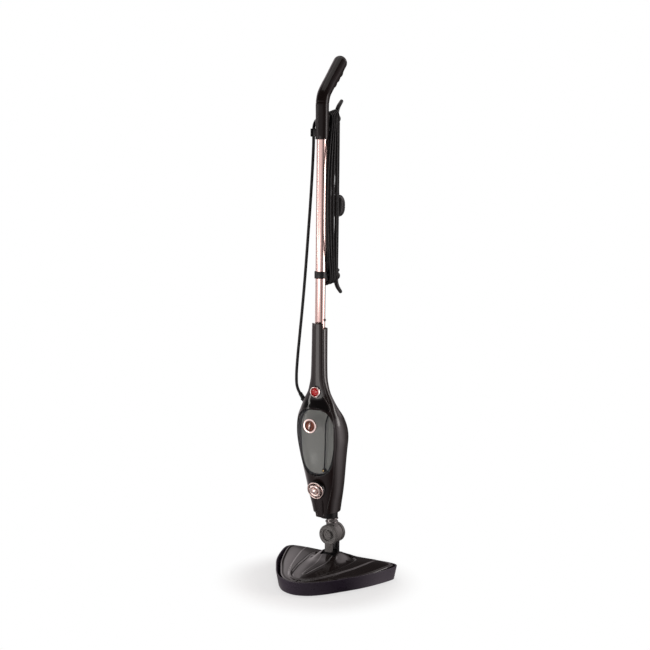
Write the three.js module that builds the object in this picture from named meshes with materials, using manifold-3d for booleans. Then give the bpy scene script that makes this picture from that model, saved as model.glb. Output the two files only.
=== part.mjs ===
// Upright steam mop parked in its carpet glider, in millimetres, +Z up.
// The front of the mop faces -Y. The origin is on the floor, under the middle of the glider.
import * as THREE from 'three';
import { mergeVertices } from 'three/addons/utils/BufferGeometryUtils.js';
import Module from 'manifold-3d';

const wasm = await Module();
wasm.setup();

// ---------------------------------------------------------------- driving dimensions
const GAP = 0.35;                 // clearance between neighbouring pieces
const POLE_Y = -5;                // pole axis
const POLE_R = 11;
const POLE_WALL = 1.1;
const POLE_BOTTOM = 530;
const POLE_TOP = 1012;
const SLEEVE_R = 14;              // handle sleeve round the pole
const SLEEVE_BOTTOM = 966;
const GRIP_R = 14.3;
const NECK_Y = 57;                // stem under the body
const PIVOT_Y = 60;               // tilt axis and knuckle centre
const TILT_Z = 40;
const BARREL_HALF = 18;           // half the tilt barrel's width
const KNUCKLE_Z = 94;
const DISC_R = 23;
const FORK_HALF = 20.5;           // half the knuckle's length along Y
const TONGUE_HALF = 10;
const TRAY_HEIGHT = 31;
const TRAY_WALL = 3;
const TRAY_FLOOR = 3;
const TRAY_TAPER = 6;             // how far the wall leans in towards the floor
const SHELL_WALL = 2.5;
const FRONT_TOP = 576;
const FRONT_BOTTOM = 143;
const REAR_TOP = 565;
const REAR_BOTTOM = 152;
const TANK_BACK = -6;             // flat back of the water tank
const OUTLET_Z = 249.5;
const BUTTON_Z = 428;
const CAP_Z = 357;
const KNOB_Z = 211;
const KNOB_TILT = 14 * Math.PI / 180;
const CORD_R = 3.25;
const PEG_R = 6.8;
const PEG_TOP_Z = 1010;
const PEG_LOW_Z = 672;
const HANK_FRONT = 14;            // first and last turn faces of the wound cord
const HANK_BACK = 48.6;
const RUN_X = PEG_R + CORD_R + 0.5;

// Body sections: height, half width, front Y, rear Y
const SECTIONS = [
  [136, 25, 5.5, 66], [150, 28, 3.5, 67], [175, 33, -1.5, 66.5], [195, 37.5, -6, 65.5],
  [222, 42, -11.5, 65], [250, 46, -20, 64.5], [288, 51, -31.5, 65], [324, 56, -38, 64],
  [347, 55.5, -40, 58], [371, 51.5, -37.5, 43], [389, 44, -31.5, 27], [408, 36, -23, 12],
  [425, 27, -20.5, 9], [443, 21.5, -21.5, 9], [460, 18.5, -22, 9.5], [521, 17, -22, 10],
  [580, 16.5, -22, 10.5],
];
// Half angle of the front shell at each height, from the front centre line
const SEAMS = [[136, 27], [150, 27], [200, 42], [250, 55], [338, 60], [430, 55], [580, 55]];
const SECTION_POWER = 2.15;
const ROW = 26;                   // spacing of the modelled body sections

// Half of the head's outline, from the front tip to the middle of the rear edge
const HEAD_HALF = [
  [0, -115], [33, -105], [58, -82], [86, -40], [111, 3], [130, 49], [141.5, 88],
  [142.2, 100], [136, 110.5], [121, 115], [60, 115],
];

// Half of the tank's shield outline (x, z), from top middle to bottom middle
const TANK_HALF = [
  [0, 389.5], [22, 388], [35, 379], [43.5, 359], [43.5, 333], [38, 300], [29, 265], [19, 247], [8, 242.5],
  [0, 242],
];

// ---------------------------------------------------------------- materials
function paint(color, roughness, metalness) {
  return new THREE.MeshStandardMaterial({ color, roughness, metalness });
}
const FINISH = {
  gloss: () => paint(0x241e1c, 0.18, 0.0),
  black: () => paint(0x121213, 0.35, 0.0),
  satin: () => paint(0x4d4a4a, 0.45, 0.0),
  tray: () => paint(0x2a2430, 0.4, 0.0),
  rose: () => paint(0xe3b5a4, 0.2, 0.9),
  chrome: () => paint(0xe8e6e4, 0.12, 1.0),
  steel: () => paint(0xb8bcc0, 0.3, 0.95),
  alloy: () => paint(0xaeb1b4, 0.5, 0.8),
  brass: () => paint(0xc9a44c, 0.3, 0.9),
  smoke: () => paint(0x7b7b76, 0.12, 0.0),
  red: () => paint(0xc01812, 0.2, 0.0),
  rubber: () => paint(0x17171a, 0.7, 0.0),
  silicone: () => paint(0xd8d4cc, 0.6, 0.0),
  pad: () => paint(0xdad9d4, 0.95, 0.0),
  board: () => paint(0x1d5a35, 0.5, 0.0),
};

// ---------------------------------------------------------------- geometry helpers
const V = (x, y, z) => new THREE.Vector3(x, y, z);

function toSolid(geometry) {
  const bare = geometry.index ? geometry.toNonIndexed() : geometry.clone();
  bare.deleteAttribute('normal');
  bare.deleteAttribute('uv');
  const merged = mergeVertices(bare, 1e-4);
  return new wasm.Manifold(new wasm.Mesh({
    numProp: 3,
    vertProperties: new Float32Array(merged.attributes.position.array),
    triVerts: new Uint32Array(merged.index.array),
  }));
}

function toGeometry(manifold) {
  const mesh = manifold.getMesh();
  const geometry = new THREE.BufferGeometry();
  const xyz = new Float32Array(mesh.numVert * 3);
  for (let i = 0; i < mesh.numVert; i += 1) {
    for (let k = 0; k < 3; k += 1) xyz[3 * i + k] = mesh.vertProperties[i * mesh.numProp + k];
  }
  geometry.setAttribute('position', new THREE.BufferAttribute(xyz, 3));
  geometry.setIndex(new THREE.BufferAttribute(new Uint32Array(mesh.triVerts), 1));
  geometry.computeVertexNormals();
  return geometry;
}

const join = (...parts) => toGeometry(parts.map(toSolid).reduce((a, b) => a.add(b)));
const cut = (base, ...tools) => toGeometry(tools.map(toSolid).reduce((a, b) => a.subtract(b), toSolid(base)));
const meet = (a, b) => toGeometry(toSolid(a).intersect(toSolid(b)));

// Box given by its lowest and highest corners
function block(x0, y0, z0, x1, y1, z1) {
  const box = new THREE.BoxGeometry(x1 - x0, y1 - y0, z1 - z0);
  return box.translate((x0 + x1) / 2, (y0 + y1) / 2, (z0 + z1) / 2);
}

// Turned solid: profile of [radius, distance along the axis] from start in the direction given
function turned(profile, start, direction, segments = 18) {
  const points = profile.map(([r, h]) => new THREE.Vector2(r, h));
  const lathe = new THREE.LatheGeometry(points, segments);
  const spin = new THREE.Quaternion().setFromUnitVectors(V(0, 1, 0), direction.clone().normalize());
  return lathe.applyQuaternion(spin).translate(start.x, start.y, start.z);
}

const rod = (radius, start, end, segments = 14) => turned(
  [[0, 0], [radius, 0], [radius, start.distanceTo(end)], [0, start.distanceTo(end)]],
  start, end.clone().sub(start), segments,
);

function pipe(outer, inner, start, end, segments = 18) {
  const length = start.distanceTo(end);
  const profile = [[inner, 0], [outer, 0], [outer, length], [inner, length], [inner, 0]];
  return turned(profile, start, end.clone().sub(start), segments);
}

function circleShape(radius, sides) {
  const points = [];
  for (let i = 0; i < sides; i += 1) {
    const a = 2 * Math.PI * i / sides;
    points.push(new THREE.Vector2(radius * Math.cos(a), radius * Math.sin(a)));
  }
  return new THREE.Shape(points);
}

// Round bar swept along a smooth curve through the points
function swept(radius, points, steps, sides = 8) {
  const path = new THREE.CatmullRomCurve3(points);
  const options = { extrudePath: path, steps, bevelEnabled: false };
  return new THREE.ExtrudeGeometry(circleShape(radius, sides), options);
}

// Flat shape in the XY plane, raised from z0 to z1
function raised(points, z0, z1) {
  const shape = new THREE.Shape(points);
  return new THREE.ExtrudeGeometry(shape, { depth: z1 - z0, bevelEnabled: false }).translate(0, 0, z0);
}

// Flat shape in the XZ plane, running from y0 to y1
function facing(points, y0, y1, holes = []) {
  const shape = new THREE.Shape(points);
  for (const hole of holes) shape.holes.push(new THREE.Path(hole));
  const solid = new THREE.ExtrudeGeometry(shape, { depth: y1 - y0, bevelEnabled: false });
  return solid.rotateX(Math.PI / 2).translate(0, y1, 0);
}

// Closed body between an outer and an inner grid of points, both [rows][columns]
function slab(outer, inner) {
  const rows = outer.length;
  const cols = outer[0].length;
  const xyz = [];
  for (const grid of [outer, inner]) for (const row of grid) for (const p of row) xyz.push(p.x, p.y, p.z);
  const index = [];
  const at = (side, r, c) => (side * rows + r) * cols + c;
  const quad = (a, b, c, d) => index.push(a, b, c, a, c, d);
  for (let r = 0; r + 1 < rows; r += 1) {
    for (let c = 0; c + 1 < cols; c += 1) {
      quad(at(0, r, c), at(0, r, c + 1), at(0, r + 1, c + 1), at(0, r + 1, c));
      quad(at(1, r, c), at(1, r + 1, c), at(1, r + 1, c + 1), at(1, r, c + 1));
    }
    quad(at(0, r, 0), at(0, r + 1, 0), at(1, r + 1, 0), at(1, r, 0));
    quad(at(0, r, cols - 1), at(1, r, cols - 1), at(1, r + 1, cols - 1), at(0, r + 1, cols - 1));
  }
  for (let c = 0; c + 1 < cols; c += 1) {
    quad(at(0, 0, c), at(1, 0, c), at(1, 0, c + 1), at(0, 0, c + 1));
    quad(at(0, rows - 1, c), at(0, rows - 1, c + 1), at(1, rows - 1, c + 1), at(1, rows - 1, c));
  }
  const geometry = new THREE.BufferGeometry();
  geometry.setAttribute('position', new THREE.Float32BufferAttribute(xyz, 3));
  geometry.setIndex(index);
  geometry.computeVertexNormals();
  return geometry;
}

// Solid through a stack of closed rings, with flat ends
function stack(rings) {
  const n = rings[0].length;
  const xyz = [];
  for (const ring of rings) for (const p of ring) xyz.push(p.x, p.y, p.z);
  const index = [];
  for (let r = 0; r + 1 < rings.length; r += 1) {
    for (let c = 0; c < n; c += 1) {
      const a = r * n + c;
      const b = r * n + (c + 1) % n;
      index.push(a, b, b + n, a, b + n, a + n);
    }
  }
  for (const [r, flip] of [[0, true], [rings.length - 1, false]]) {
    const middle = rings[r].reduce((sum, p) => sum.add(p), V(0, 0, 0)).divideScalar(n);
    const hub = xyz.length / 3;
    xyz.push(middle.x, middle.y, middle.z);
    for (let c = 0; c < n; c += 1) {
      const a = r * n + c;
      const b = r * n + (c + 1) % n;
      if (flip) index.push(b, a, hub);
      else index.push(a, b, hub);
    }
  }
  const geometry = new THREE.BufferGeometry();
  geometry.setAttribute('position', new THREE.Float32BufferAttribute(xyz, 3));
  geometry.setIndex(index);
  geometry.computeVertexNormals();
  return geometry;
}

// ---------------------------------------------------------------- body form
// Smooth value between stations [key, value...]
function between(table, key, column) {
  let i = 0;
  while (i < table.length - 2 && key > table[i + 1][0]) i += 1;
  const [k0, k1] = [table[i][0], table[i + 1][0]];
  const [v0, v1] = [table[i][column], table[i + 1][column]];
  const slope = (a, b) => (table[b][column] - table[a][column]) / (table[b][0] - table[a][0]);
  const m0 = i > 0 ? slope(i - 1, i + 1) : slope(i, i + 1);
  const m1 = i + 2 < table.length ? slope(i, i + 2) : slope(i, i + 1);
  const t = (key - k0) / (k1 - k0);
  const h = k1 - k0;
  return v0 * (1 + 2 * t) * (1 - t) ** 2 + m0 * h * t * (1 - t) ** 2
    + v1 * t * t * (3 - 2 * t) + m1 * h * t * t * (t - 1);
}

const signedPower = (value, power) => Math.sign(value) * Math.abs(value) ** power;

// Point on the body's surface at a height and an angle from the front, moved out by offset
function bodyPoint(z, angle, offset) {
  const halfWidth = between(SECTIONS, z, 1) + offset;
  const front = between(SECTIONS, z, 2) - offset;
  const rear = between(SECTIONS, z, 3) + offset;
  const bend = 2 / SECTION_POWER;
  const x = halfWidth * signedPower(Math.sin(angle), bend);
  const y = (front + rear) / 2 - (rear - front) / 2 * signedPower(Math.cos(angle), bend);
  return V(x, y, z);
}

const seamAngle = (z) => between(SEAMS, z, 1) * Math.PI / 180;

function bodyGrid(zs, columns, offset, range) {
  return zs.map((z) => {
    const [from, to] = range(z);
    const row = [];
    for (let c = 0; c <= columns; c += 1) row.push(bodyPoint(z, from + (to - from) * c / columns, offset));
    return row;
  });
}

// Heights from low to high, on shared rows so that neighbouring shells meet row for row
function heights(low, high) {
  const rows = [low];
  for (let z = ROW * Math.ceil((low + 1) / ROW); z < high - 1; z += ROW) rows.push(z);
  return [...rows, high];
}

// The whole body form as one solid, grown or shrunk by offset
function bodyForm(offset, low, high) {
  const rings = heights(low, high).map((z) => {
    const ring = [];
    for (let c = 0; c < 32; c += 1) ring.push(bodyPoint(z, 2 * Math.PI * c / 32, offset));
    return ring;
  });
  return stack(rings);
}

// Mirrored closed outline from half of it, as a smooth curve, grown outward by offset
function closedOutline(half, steps, offset) {
  const mirrored = half.slice().reverse().filter(([x]) => x > 0).map(([x, y]) => [-x, y]);
  const loop = [...half, ...mirrored].map(([x, y]) => V(x, y, 0));
  const curve = new THREE.CatmullRomCurve3(loop, true, 'centripetal');
  const points = curve.getSpacedPoints(steps).slice(0, steps);
  const turn = points.reduce((s, p, i) => {
    const q = points[(i + 1) % steps];
    return s + p.x * q.y - q.x * p.y;
  }, 0) > 0 ? 1 : -1;
  return points.map((p, i) => {
    const along = points[(i + 1) % steps].clone().sub(points[(i + steps - 1) % steps]).normalize();
    return new THREE.Vector2(p.x + turn * along.y * offset, p.y - turn * along.x * offset);
  });
}

const headOutline = (inset, steps = 36) => closedOutline(HEAD_HALF, steps, -inset);
const tankOutline = (grow, steps = 30) => closedOutline(TANK_HALF, steps, grow);

// ---------------------------------------------------------------- assembly
const mop = new THREE.Group();

function place(name, geometry, finish) {
  const mesh = new THREE.Mesh(geometry, FINISH[finish]());
  mesh.name = name;
  mop.add(mesh);
}

// ---------------------------------------------------------------- glider and head
function gliderTray() {
  const ring = (inset, z) => headOutline(inset).map((p) => V(p.x, p.y, z));
  const walls = cut(
    stack([ring(TRAY_TAPER, 0), ring(0, TRAY_HEIGHT)]),
    stack([ring(TRAY_TAPER + TRAY_WALL, TRAY_FLOOR), ring(TRAY_WALL, TRAY_HEIGHT + 1)]),
  );
  const slots = [];
  for (const side of [-1, 1]) {
    for (const y of [-30, 0, 30, 60]) {
      const middle = side * (30 + 0.35 * (y + 30));
      slots.push(block(middle - 16, y - 3.5, -2, middle + 16, y + 3.5, TRAY_FLOOR + 2));
    }
  }
  return cut(walls, ...slots);
}

// Height of the head cover's top skin: higher toward the rear, with a hood over the tilt barrel
function coverHeight(x, y, edge) {
  const rise = 7 * THREE.MathUtils.smoothstep(y, 10, 105);
  const crown = 27 + rise + (9 - 0.7 * rise) * (1 - edge ** 2.4);
  const hood = 18 * Math.exp(-((x / 34) ** 4) - (((y - 58) / 30) ** 2));
  return crown + hood;
}

function headCover() {
  const rim = headOutline(9, 32);
  const hub = V(0, 25, 0);
  const steps = [1, 0.92, 0.72, 0.55, 0.4, 0.25, 0.1];
  const skin = (drop) => steps.map((t) => rim.map((p) => {
    const x = hub.x + (p.x - hub.x) * t;
    const y = hub.y + (p.y - hub.y) * t;
    const top = coverHeight(x, y, t);
    return V(x, y, t === 1 ? top - 3 - drop : top - drop);
  }));
  const top = skin(0);
  const foot = [rim.map((p) => V(p.x, p.y, 14.5))];
  const outer = stack([...foot, ...top]);
  const innerRim = headOutline(11.5, 32);
  const inner = stack([
    innerRim.map((p) => V(p.x, p.y, 10)),
    innerRim.map((p) => V(p.x, p.y, 21)),
    ...skin(2.6).slice(1),
  ]);
  const shell = cut(outer, inner);
  const barrelWell = block(-BARREL_HALF - 1, PIVOT_Y - 22, 8, BARREL_HALF + 1, PIVOT_Y + 22, 60);
  const stemWell = block(-15, PIVOT_Y, 30, 15, PIVOT_Y + 60, 60);
  return cut(shell, barrelWell, stemWell);
}

function solePlate() {
  const plate = raised(headOutline(12.5, 32), 9.5, 14);
  const vents = [];
  for (const side of [-1, 1]) {
    for (let i = 0; i < 5; i += 1) {
      const x = side * (14 + 17 * i);
      vents.push(block(x - 4, -6 + 11 * i, 8, x + 4, -3 + 11 * i, 16));
    }
  }
  return cut(plate, ...vents);
}

const mopPad = () => raised(headOutline(12, 32), 3.6, 8.2);

const hookStrip = () => block(-100, 66, 8.5, 100, 92, 9.2);

// Cradle that holds the tilt barrel between two ears
function tiltSaddle() {
  const base = block(-33.5, PIVOT_Y - 18.5, 14.4, 33.5, PIVOT_Y + 18.5, 22);
  const ears = [-1, 1].map((side) => {
    const [near, far] = [(BARREL_HALF + 0.6) * side, (BARREL_HALF + 6.5) * side];
    const post = block(Math.min(near, far), PIVOT_Y - 10, 18, Math.max(near, far), PIVOT_Y + 10, TILT_Z);
    return join(post, rod(6, V(near, PIVOT_Y, TILT_Z), V(far, PIVOT_Y, TILT_Z), 20));
  });
  const bore = rod(4.35, V(-40, PIVOT_Y, TILT_Z), V(40, PIVOT_Y, TILT_Z), 16);
  return cut(join(base, ...ears), bore);
}

const tiltPin = () => rod(4, V(-24, PIVOT_Y, TILT_Z), V(24, PIVOT_Y, TILT_Z), 16);

// Shallow steam box over the sole plate's vents
function steamDistributor() {
  const box = block(-88, -12, 14.4, 88, 40.5, 19);
  const spread = [-1, 1].map((side) => {
    const corners = [[90, 40.6], [90, -20], [22, -20]];
    const wedge = new THREE.Shape(corners.map(([x, y]) => new THREE.Vector2(side * x, y)));
    return new THREE.ExtrudeGeometry(wedge, { depth: 20, bevelEnabled: false }).translate(0, 0, 5);
  });
  const spout = pipe(5, 3, V(0, 30, 18.5), V(0, 30, 23), 16);
  return cut(join(cut(box, ...spread), spout), rod(3, V(0, 30, 16), V(0, 30, 24), 16));
}

function headScrew(side) {
  const [x, y] = [side * 96, 88];
  return join(rod(1.6, V(x, y, 14.4), V(x, y, 20), 8), rod(3.2, V(x, y, 14.4), V(x, y, 15.6), 10));
}

// ---------------------------------------------------------------- neck
// Lower half of the knuckle: tilt barrel, stem and two discs
function neckFork() {
  const barrel = rod(14, V(-BARREL_HALF, PIVOT_Y, TILT_Z), V(BARREL_HALF, PIVOT_Y, TILT_Z), 24);
  const stem = block(-11, PIVOT_Y - FORK_HALF, TILT_Z + 4, 11, PIVOT_Y + FORK_HALF, KNUCKLE_Z - 4);
  const discs = [-1, 1].map((side) => rod(
    DISC_R,
    V(0, PIVOT_Y + side * (TONGUE_HALF + 0.6), KNUCKLE_Z),
    V(0, PIVOT_Y + side * FORK_HALF, KNUCKLE_Z),
    24,
  ));
  const slotHalf = TONGUE_HALF + 0.6;
  const slot = block(-30, PIVOT_Y - slotHalf, KNUCKLE_Z - 39, 30, PIVOT_Y + slotHalf, KNUCKLE_Z + 30);
  const bore = rod(5.35, V(0, PIVOT_Y - 30, KNUCKLE_Z), V(0, PIVOT_Y + 30, KNUCKLE_Z), 16);
  const pinBore = rod(4.35, V(-30, PIVOT_Y, TILT_Z), V(30, PIVOT_Y, TILT_Z), 16);
  return cut(join(barrel, cut(stem, slot), ...discs), bore, pinBore);
}

// Pin through the knuckle with a low head on each end
function knucklePin() {
  const reach = FORK_HALF + 1;
  const shank = rod(5, V(0, PIVOT_Y - reach, KNUCKLE_Z), V(0, PIVOT_Y + reach, KNUCKLE_Z), 16);
  const headAt = (distance) => V(0, PIVOT_Y + distance, KNUCKLE_Z);
  const heads = [-1, 1].map((side) => {
    const [near, far] = [side * (FORK_HALF + GAP), side * (reach + 1.2)];
    return rod(10, headAt(near), headAt(far), 24);
  });
  return join(shank, ...heads);
}

// Upper half of the knuckle: the tongue between the discs, and the stem up into the body
function neckTongue() {
  const discAt = (distance) => V(0, PIVOT_Y + distance, KNUCKLE_Z);
  const disc = rod(DISC_R - 1.2, discAt(-TONGUE_HALF), discAt(TONGUE_HALF), 24);
  const stem = rod(12.5, V(0, NECK_Y, KNUCKLE_Z + DISC_R + 0.8), V(0, NECK_Y, 146), 18);
  const web = block(-11, PIVOT_Y - TONGUE_HALF, KNUCKLE_Z, 11, PIVOT_Y + TONGUE_HALF - 1, KNUCKLE_Z + 26);
  const bore = rod(5.35, V(0, PIVOT_Y - 30, KNUCKLE_Z), V(0, PIVOT_Y + 30, KNUCKLE_Z), 16);
  const steamWay = rod(4, V(0, NECK_Y, KNUCKLE_Z + 12), V(0, NECK_Y, 150), 12);
  return cut(join(disc, web, stem), bore, steamWay);
}

function neckRings() {
  const ring = (z) => pipe(14.2, 12.85, V(0, NECK_Y, z), V(0, NECK_Y, z + 2.6), 20);
  const tie = block(-1.5, NECK_Y - 14.1, 123, 1.5, NECK_Y - 12.9, 131);
  return join(ring(121), ring(128.5), tie);
}

// Oval collar that closes the bottom of the body round the stem
function neckSocket() {
  const oval = (grow) => Array.from({ length: 28 }, (_, i) => {
    const a = 2 * Math.PI * i / 28;
    return new THREE.Vector2((20 + grow) * Math.sin(a), 43 - (20.5 + grow) * Math.cos(a));
  });
  const wall = raised(oval(0), 135.5, 160);
  const hollow = raised(oval(-2.5), 139, 165);
  const bore = rod(12.9, V(0, NECK_Y - 7, 130), V(0, NECK_Y - 7, 170), 24);
  const boreFull = rod(12.9, V(0, NECK_Y, 130), V(0, NECK_Y, 170), 24);
  return cut(wall, hollow, join(bore, boreFull));
}

// ---------------------------------------------------------------- body shells
function shell(low, high, columns, range) {
  const zs = heights(low, high);
  return slab(bodyGrid(zs, columns, 0, range), bodyGrid(zs, columns, -SHELL_WALL, range));
}

const frontNormal = V(0, -1, 0);
const knobNormal = V(0, -Math.cos(KNOB_TILT), -Math.sin(KNOB_TILT));
const frontAt = (z) => V(0, between(SECTIONS, z, 2), z);
const along = (start, direction, distance) => start.clone().add(direction.clone().multiplyScalar(distance));

function frontShell() {
  const panel = shell(FRONT_BOTTOM, FRONT_TOP, 8, (z) => [-seamAngle(z), seamAngle(z)]);
  const window = facing(tankOutline(1.2), -60, 10);
  const buttonHole = rod(9.6, V(0, -40, BUTTON_Z), V(0, 0, BUTTON_Z), 20);
  const knob = frontAt(KNOB_Z);
  const knobHole = rod(8, along(knob, knobNormal, 12), along(knob, knobNormal, -12), 16);
  return cut(panel, window, buttonHole, knobHole);
}

function rearShell() {
  const edge = (z) => seamAngle(z) + 0.5 / between(SECTIONS, z, 1);
  const back = shell(REAR_BOTTOM, REAR_TOP, 12, (z) => [edge(z), 2 * Math.PI - edge(z)]);
  const glandHole = rod(5.6, along(GLAND, GLAND_AXIS, -12), along(GLAND, GLAND_AXIS, 12), 14);
  const screwHoles = BODY_SCREWS.map(([x, z]) => rod(2.6, V(x, 20, z), V(x, 80, z), 10));
  return cut(back, glandHole, ...screwHoles);
}

// Where the cord enters the left shoulder, and the way it points
const GLAND = V(-38, -2, 401);
const GLAND_AXIS = V(-0.6, 0, 0.8);
const BODY_SCREWS = [[-17, 190], [17, 190], [-26, 320], [26, 320]];

function bodyScrew([x, z]) {
  const rear = bodyPoint(z, Math.PI - Math.asin(x / between(SECTIONS, z, 1)), 0).y;
  const head = rod(2.1, V(x, rear - 3.5, z), V(x, rear - 0.8, z), 8);
  return join(head, rod(1.4, V(x, rear - 13, z), V(x, rear - 3, z), 8));
}

// ---------------------------------------------------------------- water tank and cap
function waterTank() {
  const outer = meet(facing(tankOutline(0), -60, TANK_BACK), bodyForm(0.8, 230, 410));
  const inner = meet(facing(tankOutline(-2.5, 28), -60, TANK_BACK - 2.5), bodyForm(-1.8, 230, 410));
  const filler = rod(9, V(0, -60, CAP_Z), V(0, -30, CAP_Z), 20);
  const outlet = rod(2.2, V(-14, -12, OUTLET_Z), V(-14, 0, OUTLET_Z), 10);
  return cut(outer, inner, filler, outlet);
}

const TANK_FACE = between(SECTIONS, CAP_Z, 2) - 0.8;

const capSeal = () => turned(
  [[0, 0], [8.6, 0], [8.6, 4.5], [11.2, 4.5], [11.2, 6.6], [0, 6.6]],
  V(0, TANK_FACE + 3.6, CAP_Z), frontNormal, 20,
);

// Bright ring round the cap
const capRing = () => turned(
  [[12.2, 0], [15.6, 0], [15.8, 2.6], [13.8, 4.6], [11.6, 3.4], [12.2, 0]],
  V(0, TANK_FACE - 0.5, CAP_Z), frontNormal, 24,
);

// Dished cap with a finger bar across it
function capCore() {
  const face = TANK_FACE - 3.4;
  const profile = [[0, 0], [11.2, 0], [11.2, 1.2], [8.5, 1.4], [7, 0.9], [0, 0.9]];
  const dish = turned(profile, V(0, face, CAP_Z), frontNormal, 24);
  const bar = block(-1.9, face - 3.6, CAP_Z - 7, 1.9, face - 0.5, CAP_Z + 7);
  return join(dish, bar);
}

const tankOutlet = () => pipe(3.2, 1.9, V(-14, TANK_BACK + 0.35, OUTLET_Z), V(-14, 0.4, OUTLET_Z), 12);

// ---------------------------------------------------------------- knob, button and their switches
const KNOB_SEAT = frontAt(KNOB_Z);

const knobBezel = () => turned(
  [[16.5, -5.5], [20.8, -5.5], [21, 2.2], [19.4, 3.6], [17.6, 3.2], [16.5, 1.2], [16.5, -5.5]],
  along(KNOB_SEAT, knobNormal, 7), knobNormal, 24,
);

// Fluted grip, turned on the valve's spindle
function steamKnob() {
  const start = along(KNOB_SEAT, knobNormal, 2.4);
  const profile = [[0, 0], [15.8, 0], [16, 6], [15.2, 9.4], [12.2, 11], [8.6, 11], [8.3, 9.6], [0, 9.6]];
  const body = turned(profile, start, knobNormal, 24);
  const flutes = [];
  const side = V(1, 0, 0);
  for (let i = 0; i < 6; i += 1) {
    const spoke = side.clone().applyAxisAngle(knobNormal, Math.PI / 6 + i * Math.PI / 3).multiplyScalar(18.2);
    const foot = start.clone().add(spoke);
    flutes.push(rod(4.4, along(foot, knobNormal, 3), along(foot, knobNormal, 14), 10));
  }
  return cut(body, ...flutes);
}

const knobCap = () => turned(
  [[0, 0], [7.8, 0], [7.6, 2.2], [6, 3.2], [0, 3.6]], along(KNOB_SEAT, knobNormal, 12.4), knobNormal, 24,
);

function steamValve() {
  const spindle = rod(3, along(KNOB_SEAT, knobNormal, 2), along(KNOB_SEAT, knobNormal, -6), 12);
  const body = rod(9.5, along(KNOB_SEAT, knobNormal, -5), along(KNOB_SEAT, knobNormal, -20), 16);
  return join(spindle, body);
}

const BUTTON_FACE = between(SECTIONS, BUTTON_Z, 2);

const buttonRing = () => turned(
  [[8.8, -1.4], [11.6, -1.4], [12, 0.8], [10.8, 2.4], [9.2, 1.8], [8.8, -1.4]],
  V(0, BUTTON_FACE - 2.9, BUTTON_Z), frontNormal, 20,
);

const powerButton = () => turned(
  [[0, 0], [8.3, 0], [8.3, 7], [7.4, 8.6], [4.4, 9.9], [0, 10.3]],
  V(0, BUTTON_FACE + 5.5, BUTTON_Z), frontNormal, 18,
);

const switchHousing = () => block(-8, BUTTON_FACE + 9.5, BUTTON_Z - 10, 8, BUTTON_FACE + 24, BUTTON_Z + 9);

// ---------------------------------------------------------------- works inside the body
function boiler() {
  const casting = block(-25, 0, 256, 25, 40, 346);
  const fins = [];
  for (let z = 268; z < 336; z += 16) fins.push(block(-27, 34, z, 27, 44, z + 6));
  return cut(casting, ...fins);
}

const thermostat = () => join(
  rod(8, V(25.35, 18, 300), V(30, 18, 300), 14),
  block(29, 14, 296, 33, 22, 304),
);

function waterPump() {
  const coil = block(-13, 27, 186, 13, 51, 214);
  const barrel = rod(8.5, V(0, 39, 168), V(0, 39, 236), 20);
  return join(coil, barrel);
}

const pumpMounts = () => join(
  pipe(14, 8.9, V(0, 39, 176), V(0, 39, 182), 20),
  block(9, 37, 176, 22, 41, 182),
);

const controlBoard = () => join(
  block(-21, 14, 356, 21, 15.6, 386),
  block(-15, 5, 360, -3, 14.5, 376),
  block(3, 8, 364, 16, 14.5, 380),
);

const inletHose = () => swept(2.6, [
  V(-14, 0.8, OUTLET_Z), V(-14, 3.5, OUTLET_Z), V(-15, 8.5, 243), V(-20, 12, 222), V(-19, 24, 184),
  V(-11, 37, 164), V(-4, 39, 161.5),
], 18);

const pressureHose = () => rod(3, V(0, 39, 236.4), V(0, 39, 255.6), 10);

const steamHose = () => swept(3.6, [
  V(14, 32, 255.5), V(14, 32, 252), V(16, 35, 243), V(20.5, 42, 220), V(19.5, 44, 190), V(11, 51, 168),
  V(1.5, 56.5, 153), V(0, 57, 147),
], 18);

function cordClamp() {
  const middle = GLAND.clone().add(V(0, 2.5, 0));
  return rod(4.4, along(middle, GLAND_AXIS, -14), along(middle, GLAND_AXIS, -9.2), 12);
}

// ---------------------------------------------------------------- pole, handle and hooks
function pole() {
  const tube = pipe(POLE_R, POLE_R - POLE_WALL, V(0, POLE_Y, POLE_BOTTOM), V(0, POLE_Y, POLE_TOP), 24);
  return cut(tube, rod(3.4, V(0, POLE_Y, 583), V(20, POLE_Y, 583), 14));
}

const snapButton = () => rod(3, V(8.4, POLE_Y, 583), V(13.6, POLE_Y, 583), 14);

const snapSpring = () => swept(1, [
  V(4, POLE_Y, 588), V(4.2, POLE_Y, 572), V(-1, POLE_Y, 562), V(-8.2, POLE_Y, 570), V(-8.2, POLE_Y, 585),
], 12, 6);

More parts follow.
